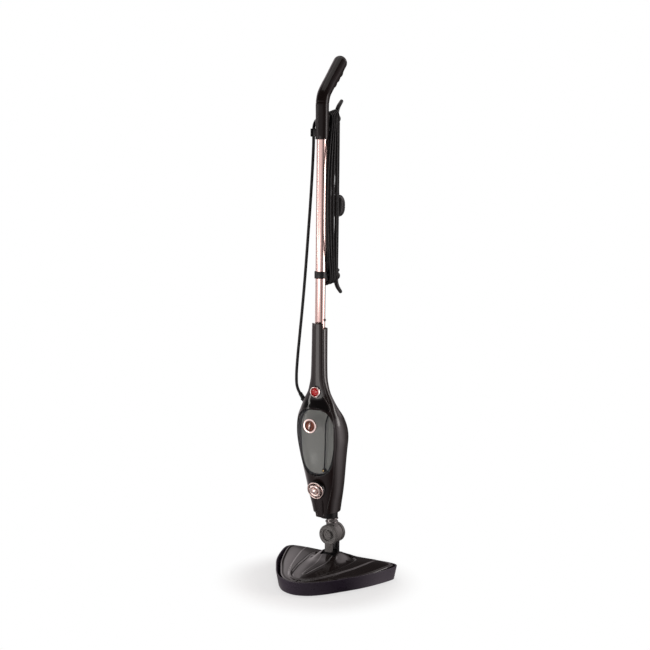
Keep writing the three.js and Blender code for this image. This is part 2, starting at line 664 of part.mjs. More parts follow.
// Sleeve round the pole, bent back into the grip, with finger bumps under it
function handle() {
  const path = new THREE.CatmullRomCurve3([
    V(0, POLE_Y, 1020), V(0, POLE_Y, 1040), V(0, POLE_Y + 5, 1058), V(0, POLE_Y + 20, 1076),
    V(0, POLE_Y + 46, 1101), V(0, POLE_Y + 74, 1128),
  ]);
  const bend = { extrudePath: path, steps: 9, bevelEnabled: false };
  const grip = new THREE.ExtrudeGeometry(circleShape(GRIP_R, 16), bend);
  const sleeve = rod(SLEEVE_R, V(0, POLE_Y, SLEEVE_BOTTOM), V(0, POLE_Y, 1026), 20);
  const tip = new THREE.SphereGeometry(GRIP_R, 14, 7).translate(0, POLE_Y + 74, 1128);
  const way = V(0, 0.69, 0.724);
  const under = V(0, 0.724, -0.69);
  const bumps = [];
  const line = V(0, POLE_Y + 22, 1078).addScaledVector(under, 10.5);
  for (let i = 0; i < 4; i += 1) {
    const centre = line.clone().addScaledVector(way, 4 + 17 * i);
    bumps.push(new THREE.SphereGeometry(8.6, 8, 5).scale(1.1, 1, 1).translate(centre.x, centre.y, centre.z));
  }
  const socket = rod(POLE_R + GAP, V(0, POLE_Y, SLEEVE_BOTTOM - 5), V(0, POLE_Y, POLE_TOP + 1), 24);
  return cut(join(grip, sleeve, tip, ...bumps), socket);
}

const CLIP_Z = 980;
const CLIP_X = -20;               // where the cord passes through the clip

// Open clip on the left of the sleeve
function cordClip() {
  const bodyBlock = block(CLIP_X - 4.8, POLE_Y - 7, CLIP_Z - 8.5, -8, POLE_Y + 7, CLIP_Z + 8.5);
  const saddle = rod(SLEEVE_R + GAP, V(0, POLE_Y, CLIP_Z - 20), V(0, POLE_Y, CLIP_Z + 20), 24);
  const lane = (z) => V(CLIP_X, POLE_Y - 1, z);
  const channel = rod(CORD_R + 0.6, lane(CLIP_Z - 20), lane(CLIP_Z + 20), 16);
  const mouth = block(CLIP_X - 2.2, POLE_Y - 12, CLIP_Z - 12, CLIP_X + 2.2, POLE_Y - 1, CLIP_Z + 12);
  return cut(bodyBlock, saddle, channel, mouth);
}

// Fixed arm of the upper hook, from a foot on the sleeve to its peg
function upperHookArm() {
  const foot = block(-9, POLE_Y + 8, PEG_TOP_Z - 17, 9, POLE_Y + SLEEVE_R + 3.5, PEG_TOP_Z + 7);
  const saddle = rod(SLEEVE_R + GAP, V(0, POLE_Y, PEG_TOP_Z - 30), V(0, POLE_Y, PEG_TOP_Z + 30), 24);
  const peg = rod(PEG_R, V(0, POLE_Y + SLEEVE_R + 1.5, PEG_TOP_Z), V(0, HANK_BACK + 3, PEG_TOP_Z), 20);
  const nose = rod(3.2, V(0, HANK_BACK + 2, PEG_TOP_Z), V(0, HANK_BACK + 11, PEG_TOP_Z), 14);
  return join(cut(foot, saddle), peg, nose);
}

// Clamp band round the pole with the lower hook's peg
function lowerHookArm() {
  const band = pipe(POLE_R + 2.2, POLE_R + GAP, V(0, POLE_Y, PEG_LOW_Z), V(0, POLE_Y, PEG_LOW_Z + 15), 24);
  const foot = block(-8, POLE_Y + POLE_R + 1.5, PEG_LOW_Z - 7.5, 8, POLE_Y + POLE_R + 7.5, PEG_LOW_Z + 15);
  const peg = rod(PEG_R, V(0, POLE_Y + POLE_R + 5, PEG_LOW_Z), V(0, HANK_BACK + 9, PEG_LOW_Z), 20);
  const nose = rod(3.2, V(0, HANK_BACK + 8, PEG_LOW_Z), V(0, HANK_BACK + 17, PEG_LOW_Z), 14);
  return join(band, foot, peg, nose);
}

// Turning hook: hub on the peg's nose and a prong that curves up and outward, then a short tail
function turningHook(y, z, up) {
  const hub = pipe(9, 3.55, V(0, y, z), V(0, y + 7.4, z), 18);
  const at = (out, rise) => V(0, y + out, z + up * rise);
  const prong = swept(3.6, [at(4, 6), at(6, 16), at(11.5, 25), at(19, 32), at(25, 37)], 6, 8);
  const tail = swept(3.4, [at(4, -6), at(7, -9.5), at(12, -11.5)], 3, 8);
  const bore = rod(3.55, V(0, y - 1, z), V(0, y + 9.5, z), 14);
  return cut(join(hub, prong, tail), bore);
}

// ---------------------------------------------------------------- cord
// Tapered sleeve where the cord leaves the shoulder
function cordGland() {
  const bore = CORD_R + GAP;
  const profile = [
    [bore, -8.8], [5.2, -8.8], [5.2, 5], [6.2, 5.2], [6.2, 7.2], [4.9, 8.2], [4.2, 20], [bore, 20], [bore, -8.8],
  ];
  return turned(profile, GLAND, GLAND_AXIS, 18);
}

// Cord from inside the gland, up the left side, through the clip, and in an arch to the hank's left side
const CORD_ROUTE = [
  [-38, -2, 401], [-45.8, -2, 411.4], [-53.6, -2, 421.8], [-58.2, -2.2, 434], [-59.2, -2.6, 456],
  [-56.4, -3.2, 495], [-51.2, -3.8, 545], [-45.8, -4.4, 595], [-40.4, -5, 650], [-35.4, -5.4, 710],
  [-30.8, -5.8, 770], [-26.4, -6, 830], [-22.8, -6, 890], [-20.5, -6, 940], [-20, -6, 960], [-20, -6, 974],
  [-20, -6, 989], [-19.6, -3.3, 999.1], [-19, 4.1, 1006.5], [-18.6, 14.2, 1009.2], [-18.3, 24.3, 1006.5],
  [-18.1, 31.7, 999.1], [-18, 34.4, 989], [-17.9, 33.4, 972], [-17.9, 29.4, 949], [-17.9, 24.4, 926],
  [-17.8, 20, 903],
];

const cordRun = () => swept(CORD_R, CORD_ROUTE.map(([x, y, z]) => V(x, y, z)), 60, 8);

function racetrack(radius) {
  const points = [];
  const arc = 10;
  for (let i = 0; i <= arc; i += 1) {
    const a = Math.PI * i / arc;
    points.push(new THREE.Vector2(radius * Math.cos(a), PEG_TOP_Z + radius * Math.sin(a)));
  }
  for (let i = 0; i <= arc; i += 1) {
    const a = Math.PI + Math.PI * i / arc;
    points.push(new THREE.Vector2(radius * Math.cos(a), PEG_LOW_Z + radius * Math.sin(a)));
  }
  return points;
}

// Wound cord: one ring of the outer shape of all its turns
function cordHank() {
  const hole = racetrack(PEG_R + GAP).reverse();
  return facing(racetrack(RUN_X + CORD_R + 0.3), HANK_FRONT, HANK_BACK, [hole]);
}

// ---------------------------------------------------------------- plug, hanging behind the hank
const PLUG = V(0, HANK_BACK + 12, 824);

function plugBody() {
  const outline = [];
  for (let i = 0; i < 24; i += 1) {
    const a = 2 * Math.PI * i / 24;
    const [across, up] = [signedPower(Math.cos(a), 0.8), signedPower(Math.sin(a), 0.8)];
    outline.push(new THREE.Vector2(18 * across, PLUG.z + 24 * up));
  }
  const shape = new THREE.Shape(outline);
  const edge = { bevelEnabled: true, bevelThickness: 3, bevelSize: 3, bevelOffset: -3, bevelSegments: 2 };
  const solid = new THREE.ExtrudeGeometry(shape, { depth: 15, ...edge }).rotateX(Math.PI / 2);
  return solid.translate(0, PLUG.y + 7.5, 0);
}

const plugPin = (side) => join(
  rod(2.4, V(0, PLUG.y - 10.8, PLUG.z + 9.5 * side), V(0, PLUG.y - 27, PLUG.z + 9.5 * side), 12),
  rod(1.6, V(0, PLUG.y - 26, PLUG.z + 9.5 * side), V(0, PLUG.y - 28.5, PLUG.z + 9.5 * side), 12),
);

const plugRelief = () => turned(
  [[0, 0], [6.5, 0], [5.8, 6], [4.6, 26], [0, 26]], V(0, PLUG.y, PLUG.z + 24.4), V(0, 0, 1), 16,
);

// Last stretch of cord, from the back of the hank down to the plug
const TAIL_ROUTE = [
  [-9.5, HANK_BACK + 3.9, 975], [-9.2, HANK_BACK + 5, 955], [-7.6, HANK_BACK + 8, 932],
  [-4, HANK_BACK + 10.8, 908], [-1, HANK_BACK + 11.9, 888], [0, HANK_BACK + 12, 875],
];

const cordTail = () => swept(CORD_R, TAIL_ROUTE.map(([x, y, z]) => V(x, y, z)), 12, 8);

place('glider_tray', gliderTray(), 'tray');
place('head_cover', headCover(), 'gloss');
place('sole_plate', solePlate(), 'black');
place('mop_pad', mopPad(), 'pad');
place('hook_strip', hookStrip(), 'rubber');
place('tilt_saddle', tiltSaddle(), 'black');
place('tilt_pin', tiltPin(), 'steel');
place('steam_distributor', steamDistributor(), 'silicone');
place('head_screw_left', headScrew(-1), 'steel');
place('head_screw_right', headScrew(1), 'steel');
place('neck_fork', neckFork(), 'satin');
place('knuckle_pin', knucklePin(), 'satin');
place('neck_tongue', neckTongue(), 'satin');
place('neck_rings', neckRings(), 'chrome');
place('neck_socket', neckSocket(), 'black');
place('front_shell', frontShell(), 'gloss');
place('rear_shell', rearShell(), 'gloss');
BODY_SCREWS.forEach((spot, i) => place(`body_screw_${i + 1}`, bodyScrew(spot), 'steel'));
place('water_tank', waterTank(), 'smoke');
place('cap_seal', capSeal(), 'silicone');
place('cap_ring', capRing(), 'rose');
place('cap_core', capCore(), 'black');
place('tank_outlet', tankOutlet(), 'silicone');
place('knob_bezel', knobBezel(), 'rose');
place('steam_knob', steamKnob(), 'rose');
place('knob_cap', knobCap(), 'rose');
place('steam_valve', steamValve(), 'brass');
place('button_ring', buttonRing(), 'chrome');
place('power_button', powerButton(), 'red');
place('switch_housing', switchHousing(), 'black');
place('boiler', boiler(), 'alloy');
place('thermostat', thermostat(), 'steel');
place('water_pump', waterPump(), 'black');
place('pump_mounts', pumpMounts(), 'rubber');
place('control_board', controlBoard(), 'board');
place('inlet_hose', inletHose(), 'silicone');
place('pressure_hose', pressureHose(), 'silicone');
place('steam_hose', steamHose(), 'silicone');
place('cord_clamp', cordClamp(), 'black');
place('pole', pole(), 'rose');
place('snap_button', snapButton(), 'chrome');
place('snap_spring', snapSpring(), 'steel');
place('handle', handle(), 'gloss');
place('cord_clip', cordClip(), 'black');
place('upper_hook_arm', upperHookArm(), 'black');
place('lower_hook_arm', lowerHookArm(), 'black');
place('upper_hook', turningHook(HANK_BACK + 3.4, PEG_TOP_Z, 1), 'black');
place('lower_hook', turningHook(HANK_BACK + 9.4, PEG_LOW_Z, -1), 'black');
place('cord_gland', cordGland(), 'rubber');
place('cord_run', cordRun(), 'rubber');
place('cord_hank', cordHank(), 'rubber');
place('cord_tail', cordTail(), 'rubber');
place('plug_body', plugBody(), 'black');
place('plug_pin_low', plugPin(-1), 'steel');
place('plug_pin_high', plugPin(1), 'steel');
place('plug_relief', plugRelief(), 'rubber');

export default mop;
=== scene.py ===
"""The looks of an upright steam mop parked in its carpet glider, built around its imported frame.

Lengths are in millimetres in the row's frame, and become metres as a mesh is made.
"""
import math

import bmesh
import bpy
import numpy as np
from mathutils import Matrix, Vector


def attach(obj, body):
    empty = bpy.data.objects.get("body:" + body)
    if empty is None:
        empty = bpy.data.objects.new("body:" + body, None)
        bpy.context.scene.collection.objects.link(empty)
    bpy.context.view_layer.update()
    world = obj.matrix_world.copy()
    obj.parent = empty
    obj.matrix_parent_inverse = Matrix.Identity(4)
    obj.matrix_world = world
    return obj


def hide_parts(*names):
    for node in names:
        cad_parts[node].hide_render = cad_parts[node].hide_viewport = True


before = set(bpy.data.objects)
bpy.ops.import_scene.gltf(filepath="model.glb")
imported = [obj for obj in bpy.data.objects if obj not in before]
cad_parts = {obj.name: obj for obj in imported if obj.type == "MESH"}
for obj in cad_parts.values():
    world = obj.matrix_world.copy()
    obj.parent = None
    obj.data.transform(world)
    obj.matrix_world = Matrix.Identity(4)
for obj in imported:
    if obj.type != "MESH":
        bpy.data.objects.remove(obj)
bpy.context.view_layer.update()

MM = 0.001
TAU = 2 * math.pi
UP, AHEAD, BEHIND, RIGHT = (0, 0, 1), (0, -1, 0), (0, 1, 0), (1, 0, 0)

# ---- sizes, as in the CAD part
POLE_Y = -5
POLE_R = 11
SLEEVE_R = 14
GRIP_R = 14.3
NECK_Y = 57
STEM_R = 12.5
PIVOT_Y = 60
TILT_Z = 40
TILT_BORE_R = 4.35
BARREL_HALF = 18
KNUCKLE_Z = 94
AXLE_BORE_R = 5.35
DISC_R = 23
FORK_HALF = 20.5
TONGUE_HALF = 10
SHELL_WALL = 2.5
SHELL_EDGE = 1.1
FRONT_LOW, FRONT_HIGH = 143, 576
REAR_LOW, REAR_HIGH = 152, 565
TANK_BACK = -6
BUTTON_Z = 428
CAP_Z = 357
KNOB_Z = 211
KNOB_TILT = math.radians(14)
SNAP_Z = 583
CORD_R = 3.25
PEG_R = 6.8
PEG_TOP = 1010
PEG_LOW = 672
HANK_FRONT, HANK_BACK = 14, 48.6
CLIP_X, CLIP_Z = -20, 980
SECTION_POWER = 2.15

# Body sections: height, half width, front Y, rear Y
SECTIONS = [
    (136, 25, 5.5, 66), (150, 28, 3.5, 67), (175, 33, -1.5, 66.5), (195, 37.5, -6, 65.5),
    (222, 42, -11.5, 65), (250, 46, -20, 64.5), (288, 51, -31.5, 65), (324, 56, -38, 64),
    (347, 55.5, -40, 58), (371, 51.5, -37.5, 43), (389, 44, -31.5, 27), (408, 36, -23, 12),
    (425, 27, -20.5, 9), (443, 21.5, -21.5, 9), (460, 18.5, -22, 9.5), (521, 17, -22, 10),
    (580, 16.5, -22, 10.5),
]
# Half angle of the front shell at each height
SEAMS = [(136, 27), (150, 27), (200, 42), (250, 55), (338, 60), (430, 55), (580, 55)]

# Half outlines: the head from its front tip, and the tank from its top middle
HEAD_HALF = [
    (0, -115), (33, -105), (58, -82), (86, -40), (111, 3), (130, 49), (141.5, 88),
    (142.2, 100), (136, 110.5), (121, 115), (60, 115),
]
TANK_HALF = [
    (0, 389.5), (22, 388), (35, 379), (43.5, 359), (44.4, 333), (42.4, 304), (38.4, 278), (31, 257),
    (19.5, 246.2), (8, 242.5), (0, 242),
]
# Inlay round the button: half outline from its top middle to its bottom middle
BADGE_HALF = [
    (0, 442.6), (7.6, 440.6), (13, 434.8), (14.6, 427), (14.6, 421.5), (18.5, 414.5), (24, 407.5),
    (29.5, 399.5), (34.6, 390.4), (34.4, 386.6), (28, 390.4), (20.5, 392.4), (0, 393.6),
]

# Cord, from inside the gland up the left side, through the clip and in an arch to the hank
CORD_ROUTE = [
    (-38, -2, 401), (-45.8, -2, 411.4), (-53.6, -2, 421.8), (-58.2, -2.2, 434), (-59.2, -2.6, 456),
    (-56.4, -3.2, 495), (-51.2, -3.8, 545), (-45.8, -4.4, 595), (-40.4, -5, 650), (-35.4, -5.4, 710),
    (-30.8, -5.8, 770), (-26.4, -6, 830), (-22.8, -6, 890), (-20.5, -6, 940), (-20, -6, 960), (-20, -6, 974),
    (-20, -6, 989), (-19.6, -3.3, 999.1), (-19, 4.1, 1006.5), (-18.6, 14.2, 1009.2), (-18.3, 24.3, 1006.5),
    (-18.1, 31.7, 999.1), (-18, 34.4, 989), (-17.9, 33.4, 972), (-17.9, 29.4, 949), (-17.9, 24.4, 926),
    (-17.8, 20, 903),
]
TAIL_ROUTE = [
    (-9.5, HANK_BACK + 3.9, 975), (-9.2, HANK_BACK + 5, 955), (-7.6, HANK_BACK + 8, 932),
    (-4, HANK_BACK + 10.8, 908), (-1, HANK_BACK + 11.9, 888), (0, HANK_BACK + 12, 875),
]
PLUG = (0, HANK_BACK + 12, 824)
GLAND = (-38, -2, 401)
GLAND_AXIS = (-0.6, 0, 0.8)
BODY_SCREWS = [(-17, 190), (17, 190), (-26, 320), (26, 320)]


# ---- curves and forms
def unit(v):
    v = np.array(v, float)
    return v / np.linalg.norm(v)


def smooth(x, low, high):
    """0 below low, 1 above high, and an S curve between."""
    t = np.clip((x - low) / (high - low), 0, 1)
    return t * t * (3 - 2 * t)


def between(table, key, column):
    """Smooth value between stations (key, value, ...)."""
    i = 0
    while i < len(table) - 2 and key > table[i + 1][0]:
        i += 1
    k0, k1 = table[i][0], table[i + 1][0]
    v0, v1 = table[i][column], table[i + 1][column]

    def slope(a, b):
        return (table[b][column] - table[a][column]) / (table[b][0] - table[a][0])

    m0 = slope(i - 1, i + 1) if i > 0 else slope(i, i + 1)
    m1 = slope(i, i + 2) if i + 2 < len(table) else slope(i, i + 1)
    h = k1 - k0
    t = (key - k0) / h
    return (v0 * (1 + 2 * t) * (1 - t) ** 2 + m0 * h * t * (1 - t) ** 2
            + v1 * t * t * (3 - 2 * t) + m1 * h * t * t * (t - 1))


def spline(points, count, closed=False):
    """Evenly spaced points on a centripetal Catmull-Rom curve through the given ones."""
    p = np.array(points, float)
    if closed:
        p = np.vstack([p[-1:], p, p[:2]])
    else:
        p = np.vstack([2 * p[0] - p[1], p, 2 * p[-1] - p[-2]])
    dense = []
    for a, b, c, d in zip(p[:-3], p[1:-2], p[2:-1], p[3:]):
        t1 = np.linalg.norm(b - a) ** 0.5
        t2 = t1 + np.linalg.norm(c - b) ** 0.5
        t3 = t2 + np.linalg.norm(d - c) ** 0.5
        for t in np.linspace(t1, t2, 16, endpoint=False):
            a1 = (t1 - t) / t1 * a + t / t1 * b
            a2 = (t2 - t) / (t2 - t1) * b + (t - t1) / (t2 - t1) * c
            a3 = (t3 - t) / (t3 - t2) * c + (t - t2) / (t3 - t2) * d
            b1 = (t2 - t) / t2 * a1 + t / t2 * a2
            b2 = (t3 - t) / (t3 - t1) * a2 + (t - t1) / (t3 - t1) * a3
            dense.append((t2 - t) / (t2 - t1) * b1 + (t - t1) / (t2 - t1) * b2)
    dense.append(p[-2])
    dense = np.array(dense)
    along = np.concatenate([[0], np.cumsum(np.linalg.norm(np.diff(dense, axis=0), axis=1))])
    stops = np.linspace(0, along[-1], count, endpoint=not closed)
    return np.stack([np.interp(stops, along, dense[:, k]) for k in range(dense.shape[1])], 1)


def fillet(points, radius, steps=4):
    """An open polyline with its inner corners rounded."""
    out = [np.array(points[0], float)]
    for before, corner, after in zip(points[:-2], points[1:-1], points[2:]):
        corner = np.array(corner, float)
        u, v = np.array(before, float) - corner, np.array(after, float) - corner
        lu, lv = np.linalg.norm(u), np.linalg.norm(v)
        half = math.acos(np.clip(u @ v / (lu * lv), -1, 1)) / 2
        reach = min(radius / max(math.tan(half), 1e-3), 0.45 * lu, 0.45 * lv)
        start, end = corner + u / lu * reach, corner + v / lv * reach
        for t in np.linspace(0, 1, steps + 1):
            out.append((1 - t) ** 2 * start + 2 * t * (1 - t) * corner + t * t * end)
    out.append(np.array(points[-1], float))
    return np.array(out)


def outline(half, count, grow=0.0):
    """Mirrored closed outline from half of it, grown outward."""
    loop = list(half) + [(-x, y) for x, y in reversed(half) if x > 0]
    p = spline(loop, count, closed=True)
    around = np.roll(p, -1, axis=0) - np.roll(p, 1, axis=0)
    around /= np.linalg.norm(around, axis=1, keepdims=True)
    nxt = np.roll(p, -1, axis=0)
    turn = np.sign(np.sum(p[:, 0] * nxt[:, 1] - nxt[:, 0] * p[:, 1]))
    return p + turn * grow * np.stack([around[:, 1], -around[:, 0]], 1)


def round_angles(count):
    return np.arange(count) * TAU / count


def signed_power(value, power):
    return np.sign(value) * np.abs(value) ** power


def body_section(z, offset):
    """Half width, middle Y and half depth of the body at a height, moved out by offset."""
    half, front, rear = (between(SECTIONS, z, column) for column in (1, 2, 3))
    front, rear = front - offset, rear + offset
    return half + offset, (front + rear) / 2, (rear - front) / 2


def body_point(z, angle, offset=0.0):
    """Point on the body's surface at a height and an angle from the front, moved out by offset."""
    half, middle, depth = body_section(z, offset)
    bend = 2 / SECTION_POWER
    return half * signed_power(math.sin(angle), bend), middle - depth * signed_power(math.cos(angle), bend), z


def body_front(x, z, offset=0.0):
    """Y of the body's front surface at x and z."""
    half, middle, depth = body_section(z, offset)
    side = min(abs(x) / half, 0.9999)
    return middle - depth * (1 - side ** SECTION_POWER) ** (1 / SECTION_POWER)


def seam(z):
    return math.radians(between(SEAMS, z, 1))


# ---- mesh building
def placed(name, data):
    obj = bpy.data.objects.new(name, data)
    bpy.context.scene.collection.objects.link(obj)
    return obj


def solid(points, faces):
    """Loose mesh object from points in millimetres, doubles merged and faces turned outward."""
    mesh = bpy.data.meshes.new("work")
    mesh.from_pydata((np.asarray(points, float) * MM).tolist(), [], faces)
    work = bmesh.new()
    work.from_mesh(mesh)
    bmesh.ops.remove_doubles(work, verts=work.verts, dist=2e-7)
    bmesh.ops.recalc_face_normals(work, faces=work.faces)
    work.to_mesh(mesh)
    work.free()
    return placed("work", mesh)


def grid_faces(rows, cols, wrap=False, start=0):
    """Four-sided faces of a grid of points numbered row by row."""
    last = cols if wrap else cols - 1
    return [
        (start + r * cols + c, start + r * cols + (c + 1) % cols,
         start + (r + 1) * cols + (c + 1) % cols, start + (r + 1) * cols + c)
        for r in range(rows - 1) for c in range(last)
    ]


def loft(rings, caps=True, hub=None):
    """Skin through closed rings, with fans at both ends."""
    rings = np.asarray(rings, float)
    count, n = rings.shape[:2]
    points = rings.reshape(-1, 3)
    faces = grid_faces(count, n, wrap=True)
    if caps:
        for ring in (0, count - 1):
            centre = rings[ring].mean(0) if hub is None else np.array([*hub, rings[ring][:, 2].mean()])
            points = np.vstack([points, centre])
            middle = len(points) - 1
            faces += [(ring * n + c, ring * n + (c + 1) % n, middle) for c in range(n)]
    return solid(points, faces)


def revolve(profile, start, axis, segments=64, shape=None):
    """Turned form: (radius, distance along the axis) from start, with an optional radius shape."""
    axis = unit(axis)
    side = np.array([1.0, 0, 0]) if abs(axis[0]) < 0.9 else np.array([0, 1.0, 0])
    side = unit(side - axis * (side @ axis))
    other = np.cross(axis, side)
    angles = round_angles(segments)
    outward = np.cos(angles)[:, None] * side + np.sin(angles)[:, None] * other
    rings = []
    for radius, h in profile:
        reach = np.full(segments, float(radius)) if shape is None else shape(angles, radius, h)
        rings.append(np.array(start, float) + axis * h + reach[:, None] * outward)
    return loft(rings, caps=False)


def rod(radius, start, end, edge=0.6, segments=48):
    """Round bar with rounded edges."""
    start, end = np.array(start, float), np.array(end, float)
    length = float(np.linalg.norm(end - start))
    profile = fillet([(0, 0), (radius, 0), (radius, length), (0, length)], edge)
    return revolve(profile, start, end - start, segments)


def drill(radius, start, end, segments):
    """Round bar to cut a bore with, its edges almost sharp."""
    return rod(radius, start, end, 0.1, segments)


def moving_frames(path):
    """Two normals at each point of a path, turning as little as they can."""
    tangents = np.gradient(path, axis=0)
    tangents /= np.linalg.norm(tangents, axis=1, keepdims=True)
    normal = np.cross(tangents[0], (0, 0, 1) if abs(tangents[0][2]) < 0.9 else (1, 0, 0))
    normals = []
    for t in tangents:
        normal = unit(normal - t * (normal @ t))
        normals.append(normal)
    normals = np.array(normals)
    return normals, np.cross(tangents, normals)


def swept_rings(path, radii, sides):
    path = np.asarray(path, float)
    radii = np.broadcast_to(np.asarray(radii, float), (len(path),))
    first, second = moving_frames(path)
    angles = round_angles(sides)
    return np.array([
        p + r * (np.cos(angles)[:, None] * a + np.sin(angles)[:, None] * b)
        for p, r, a, b in zip(path, radii, first, second)
    ])


def sweep(path, radii, sides=20):
    """Bar along a path, with round ends."""
    path = np.asarray(path, float)
    radii = np.array(np.broadcast_to(np.asarray(radii, float), (len(path),)))
    first, last = unit(path[0] - path[1]), unit(path[-1] - path[-2])
    arc = [k / 5 * math.pi / 2 for k in range(1, 6)]
    slim = np.array([max(math.cos(a), 0.02) for a in arc])
    head = [path[0] + first * radii[0] * math.sin(a) for a in reversed(arc)]
    tail = [path[-1] + last * radii[-1] * math.sin(a) for a in arc]
    radii = np.concatenate([radii[0] * slim[::-1], radii, radii[-1] * slim])
    return loft(swept_rings(np.vstack([head, path, tail]), radii, sides))


def slab(outer, inner):
    """Closed body between two grids of points, both [rows][columns]."""
    outer, inner = np.asarray(outer, float), np.asarray(inner, float)
    rows, cols = outer.shape[:2]
    total = rows * cols
    faces = grid_faces(rows, cols) + grid_faces(rows, cols, start=total)
    rim = [r * cols for r in range(rows)] + [(rows - 1) * cols + c for c in range(1, cols)]
    rim += [r * cols + cols - 1 for r in range(rows - 2, -1, -1)] + list(range(cols - 2, 0, -1))
    faces += [(a, b, b + total, a + total) for a, b in zip(rim, rim[1:] + rim[:1])]
    return solid(np.vstack([outer.reshape(-1, 3), inner.reshape(-1, 3)]), faces)


def block(low, high, edge=1.0):
    """Box with rounded edges between two corners."""
    ends = np.array([low, high], float)
    corners = [(ends[i][0], ends[j][1], ends[k][2]) for i in (0, 1) for j in (0, 1) for k in (0, 1)]
    faces = [(0, 1, 3, 2), (4, 6, 7, 5), (0, 4, 5, 1), (2, 3, 7, 6), (0, 2, 6, 4), (1, 5, 7, 3)]
    obj = solid(corners, faces)
    if edge > 0:
        work = bmesh.new()
        work.from_mesh(obj.data)
        bmesh.ops.bevel(work, geom=work.edges[:], offset=edge * MM, segments=3, profile=0.5, affect="EDGES")
        work.to_mesh(obj.data)
        work.free()
    return obj


def rounded_ends(edge, low, high, steps):
    """(inset, level) pairs from low to high, for a form whose two rims are rounded by edge."""
    arc = [math.pi / 2 * k / steps for k in range(steps + 1)]
    return ([(edge * (1 - math.sin(a)), low + edge * (1 - math.cos(a))) for a in arc]
            + [(edge * (1 - math.cos(a)), high - edge * (1 - math.sin(a))) for a in arc])


def prism(shape, axis, low, high, edge=0.0, hub=None):
    """Outline of two coordinates raised along an axis, 'y' or 'z', its edges rounded by edge."""
    shape = np.asarray(shape, float)
    middle = shape.mean(0) if hub is None else np.array(hub, float)
    reach = np.linalg.norm(shape - middle, axis=1).max()
    rings = []
    for inset, level in rounded_ends(edge, low, high, 4) if edge > 0 else [(0.0, low), (0.0, high)]:
        p = middle + (shape - middle) * (1 - inset / reach)
        flat = np.full(len(p), float(level))
        rings.append(np.stack([p[:, 0], flat, p[:, 1]] if axis == "y" else [p[:, 0], p[:, 1], flat], 1))
    return loft(rings)


def combine(obj, tools, operation="DIFFERENCE"):
    """obj cut by, or joined with, the tools, which are used up."""
    for tool in tools:
        step = obj.modifiers.new("step", "BOOLEAN")
        step.object = tool
        step.operation = operation
        step.solver = "MANIFOLD"
    bpy.context.view_layer.update()
    made = bpy.data.meshes.new_from_object(obj.evaluated_get(bpy.context.evaluated_depsgraph_get()))
    obj.modifiers.clear()
    obj.data = made
    for tool in tools:
        bpy.data.objects.remove(tool)
    return obj


def joined(*parts):
    return combine(parts[0], list(parts[1:]), "UNION")


def piece(obj, name, body, finish, stands_for=(), crease=32):
    """Names a mesh, shades it, gives it a finish and lets it ride on a body."""
    obj.name = name
    obj.data.name = name
    obj.data.shade_smooth()
    obj.data.set_sharp_from_angle(angle=math.radians(crease))
    obj.data.materials.clear()
    obj.data.materials.append(FINISH[finish][0])
    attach(obj, body)
    nodes = [stands_for] if isinstance(stands_for, str) else list(stands_for)
    if nodes:
        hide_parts(*nodes)
    return obj


# ---- materials
def feed(tree, node, inputs):
    """Sets a node's inputs to values, or links them to other nodes' outputs."""
    for key, value in inputs.items():
        if isinstance(value, bpy.types.NodeSocket):
            tree.links.new(value, node.inputs[key])
        else:
            node.inputs[key].default_value = value
    return node


def add(tree, kind, inputs, **settings):
    """New shader node with its settings and inputs."""
    node = tree.nodes.new("ShaderNode" + kind)
    for key, value in settings.items():
        setattr(node, key, value)
    return feed(tree, node, inputs)


# Range that most of a noise texture's values lie in
NOISE_LOW, NOISE_HIGH = 0.3, 0.7


def material(name, color, roughness, metallic=0.0, grain=0.0, grain_size=0.4, cloud=0.06,
             cloud_size=18.0, rough_spread=0.05, stretch=(1, 1, 1), **sockets):
    """Procedural finish: clouded colour and roughness, and a fine grain. Sizes in millimetres."""
    mat = bpy.data.materials.new(name)
    mat.use_nodes = True
    tree = mat.node_tree
    place = add(tree, "TexCoord", {}).outputs["Object"]
    mapped = add(tree, "Mapping", {"Vector": place, "Scale": stretch}).outputs["Vector"]

    def noise(size, detail):
        inputs = {"Vector": mapped, "Scale": 1 / (size * MM), "Detail": detail}
        return add(tree, "TexNoise", inputs).outputs["Fac"]

    tone = add(tree, "Mix", {
        "Factor": noise(cloud_size, 3),
        "A": (*[c * (1 - cloud) for c in color], 1),
        "B": (*[min(c * (1 + cloud), 1) for c in color], 1),
    }, data_type="RGBA")
    rough = add(tree, "MapRange", {
        "Value": noise(cloud_size * 0.35, 4), "From Min": NOISE_LOW, "From Max": NOISE_HIGH,
        "To Min": max(roughness - rough_spread, 0.02), "To Max": roughness + rough_spread,
    })
    inputs = {"Base Color": tone.outputs["Result"], "Roughness": rough.outputs["Result"],
              "Metallic": metallic}
    if grain > 0:
        bump = add(tree, "Bump", {"Height": noise(grain_size, 2), "Strength": grain, "Distance": 0.1 * MM})
        inputs["Normal"] = bump.outputs["Normal"]
    inputs |= {key.replace("_", " "): value for key, value in sockets.items()}
    feed(tree, tree.nodes["Principled BSDF"], inputs)
    return mat


def coated(specular, coat, coat_roughness=0.05):
    return {"Specular_IOR_Level": specular, "Coat_Weight": coat, "Coat_Roughness": coat_roughness}


GLOSSY = coated(0.4, 0.35)
METAL = {"metallic": 1.0}
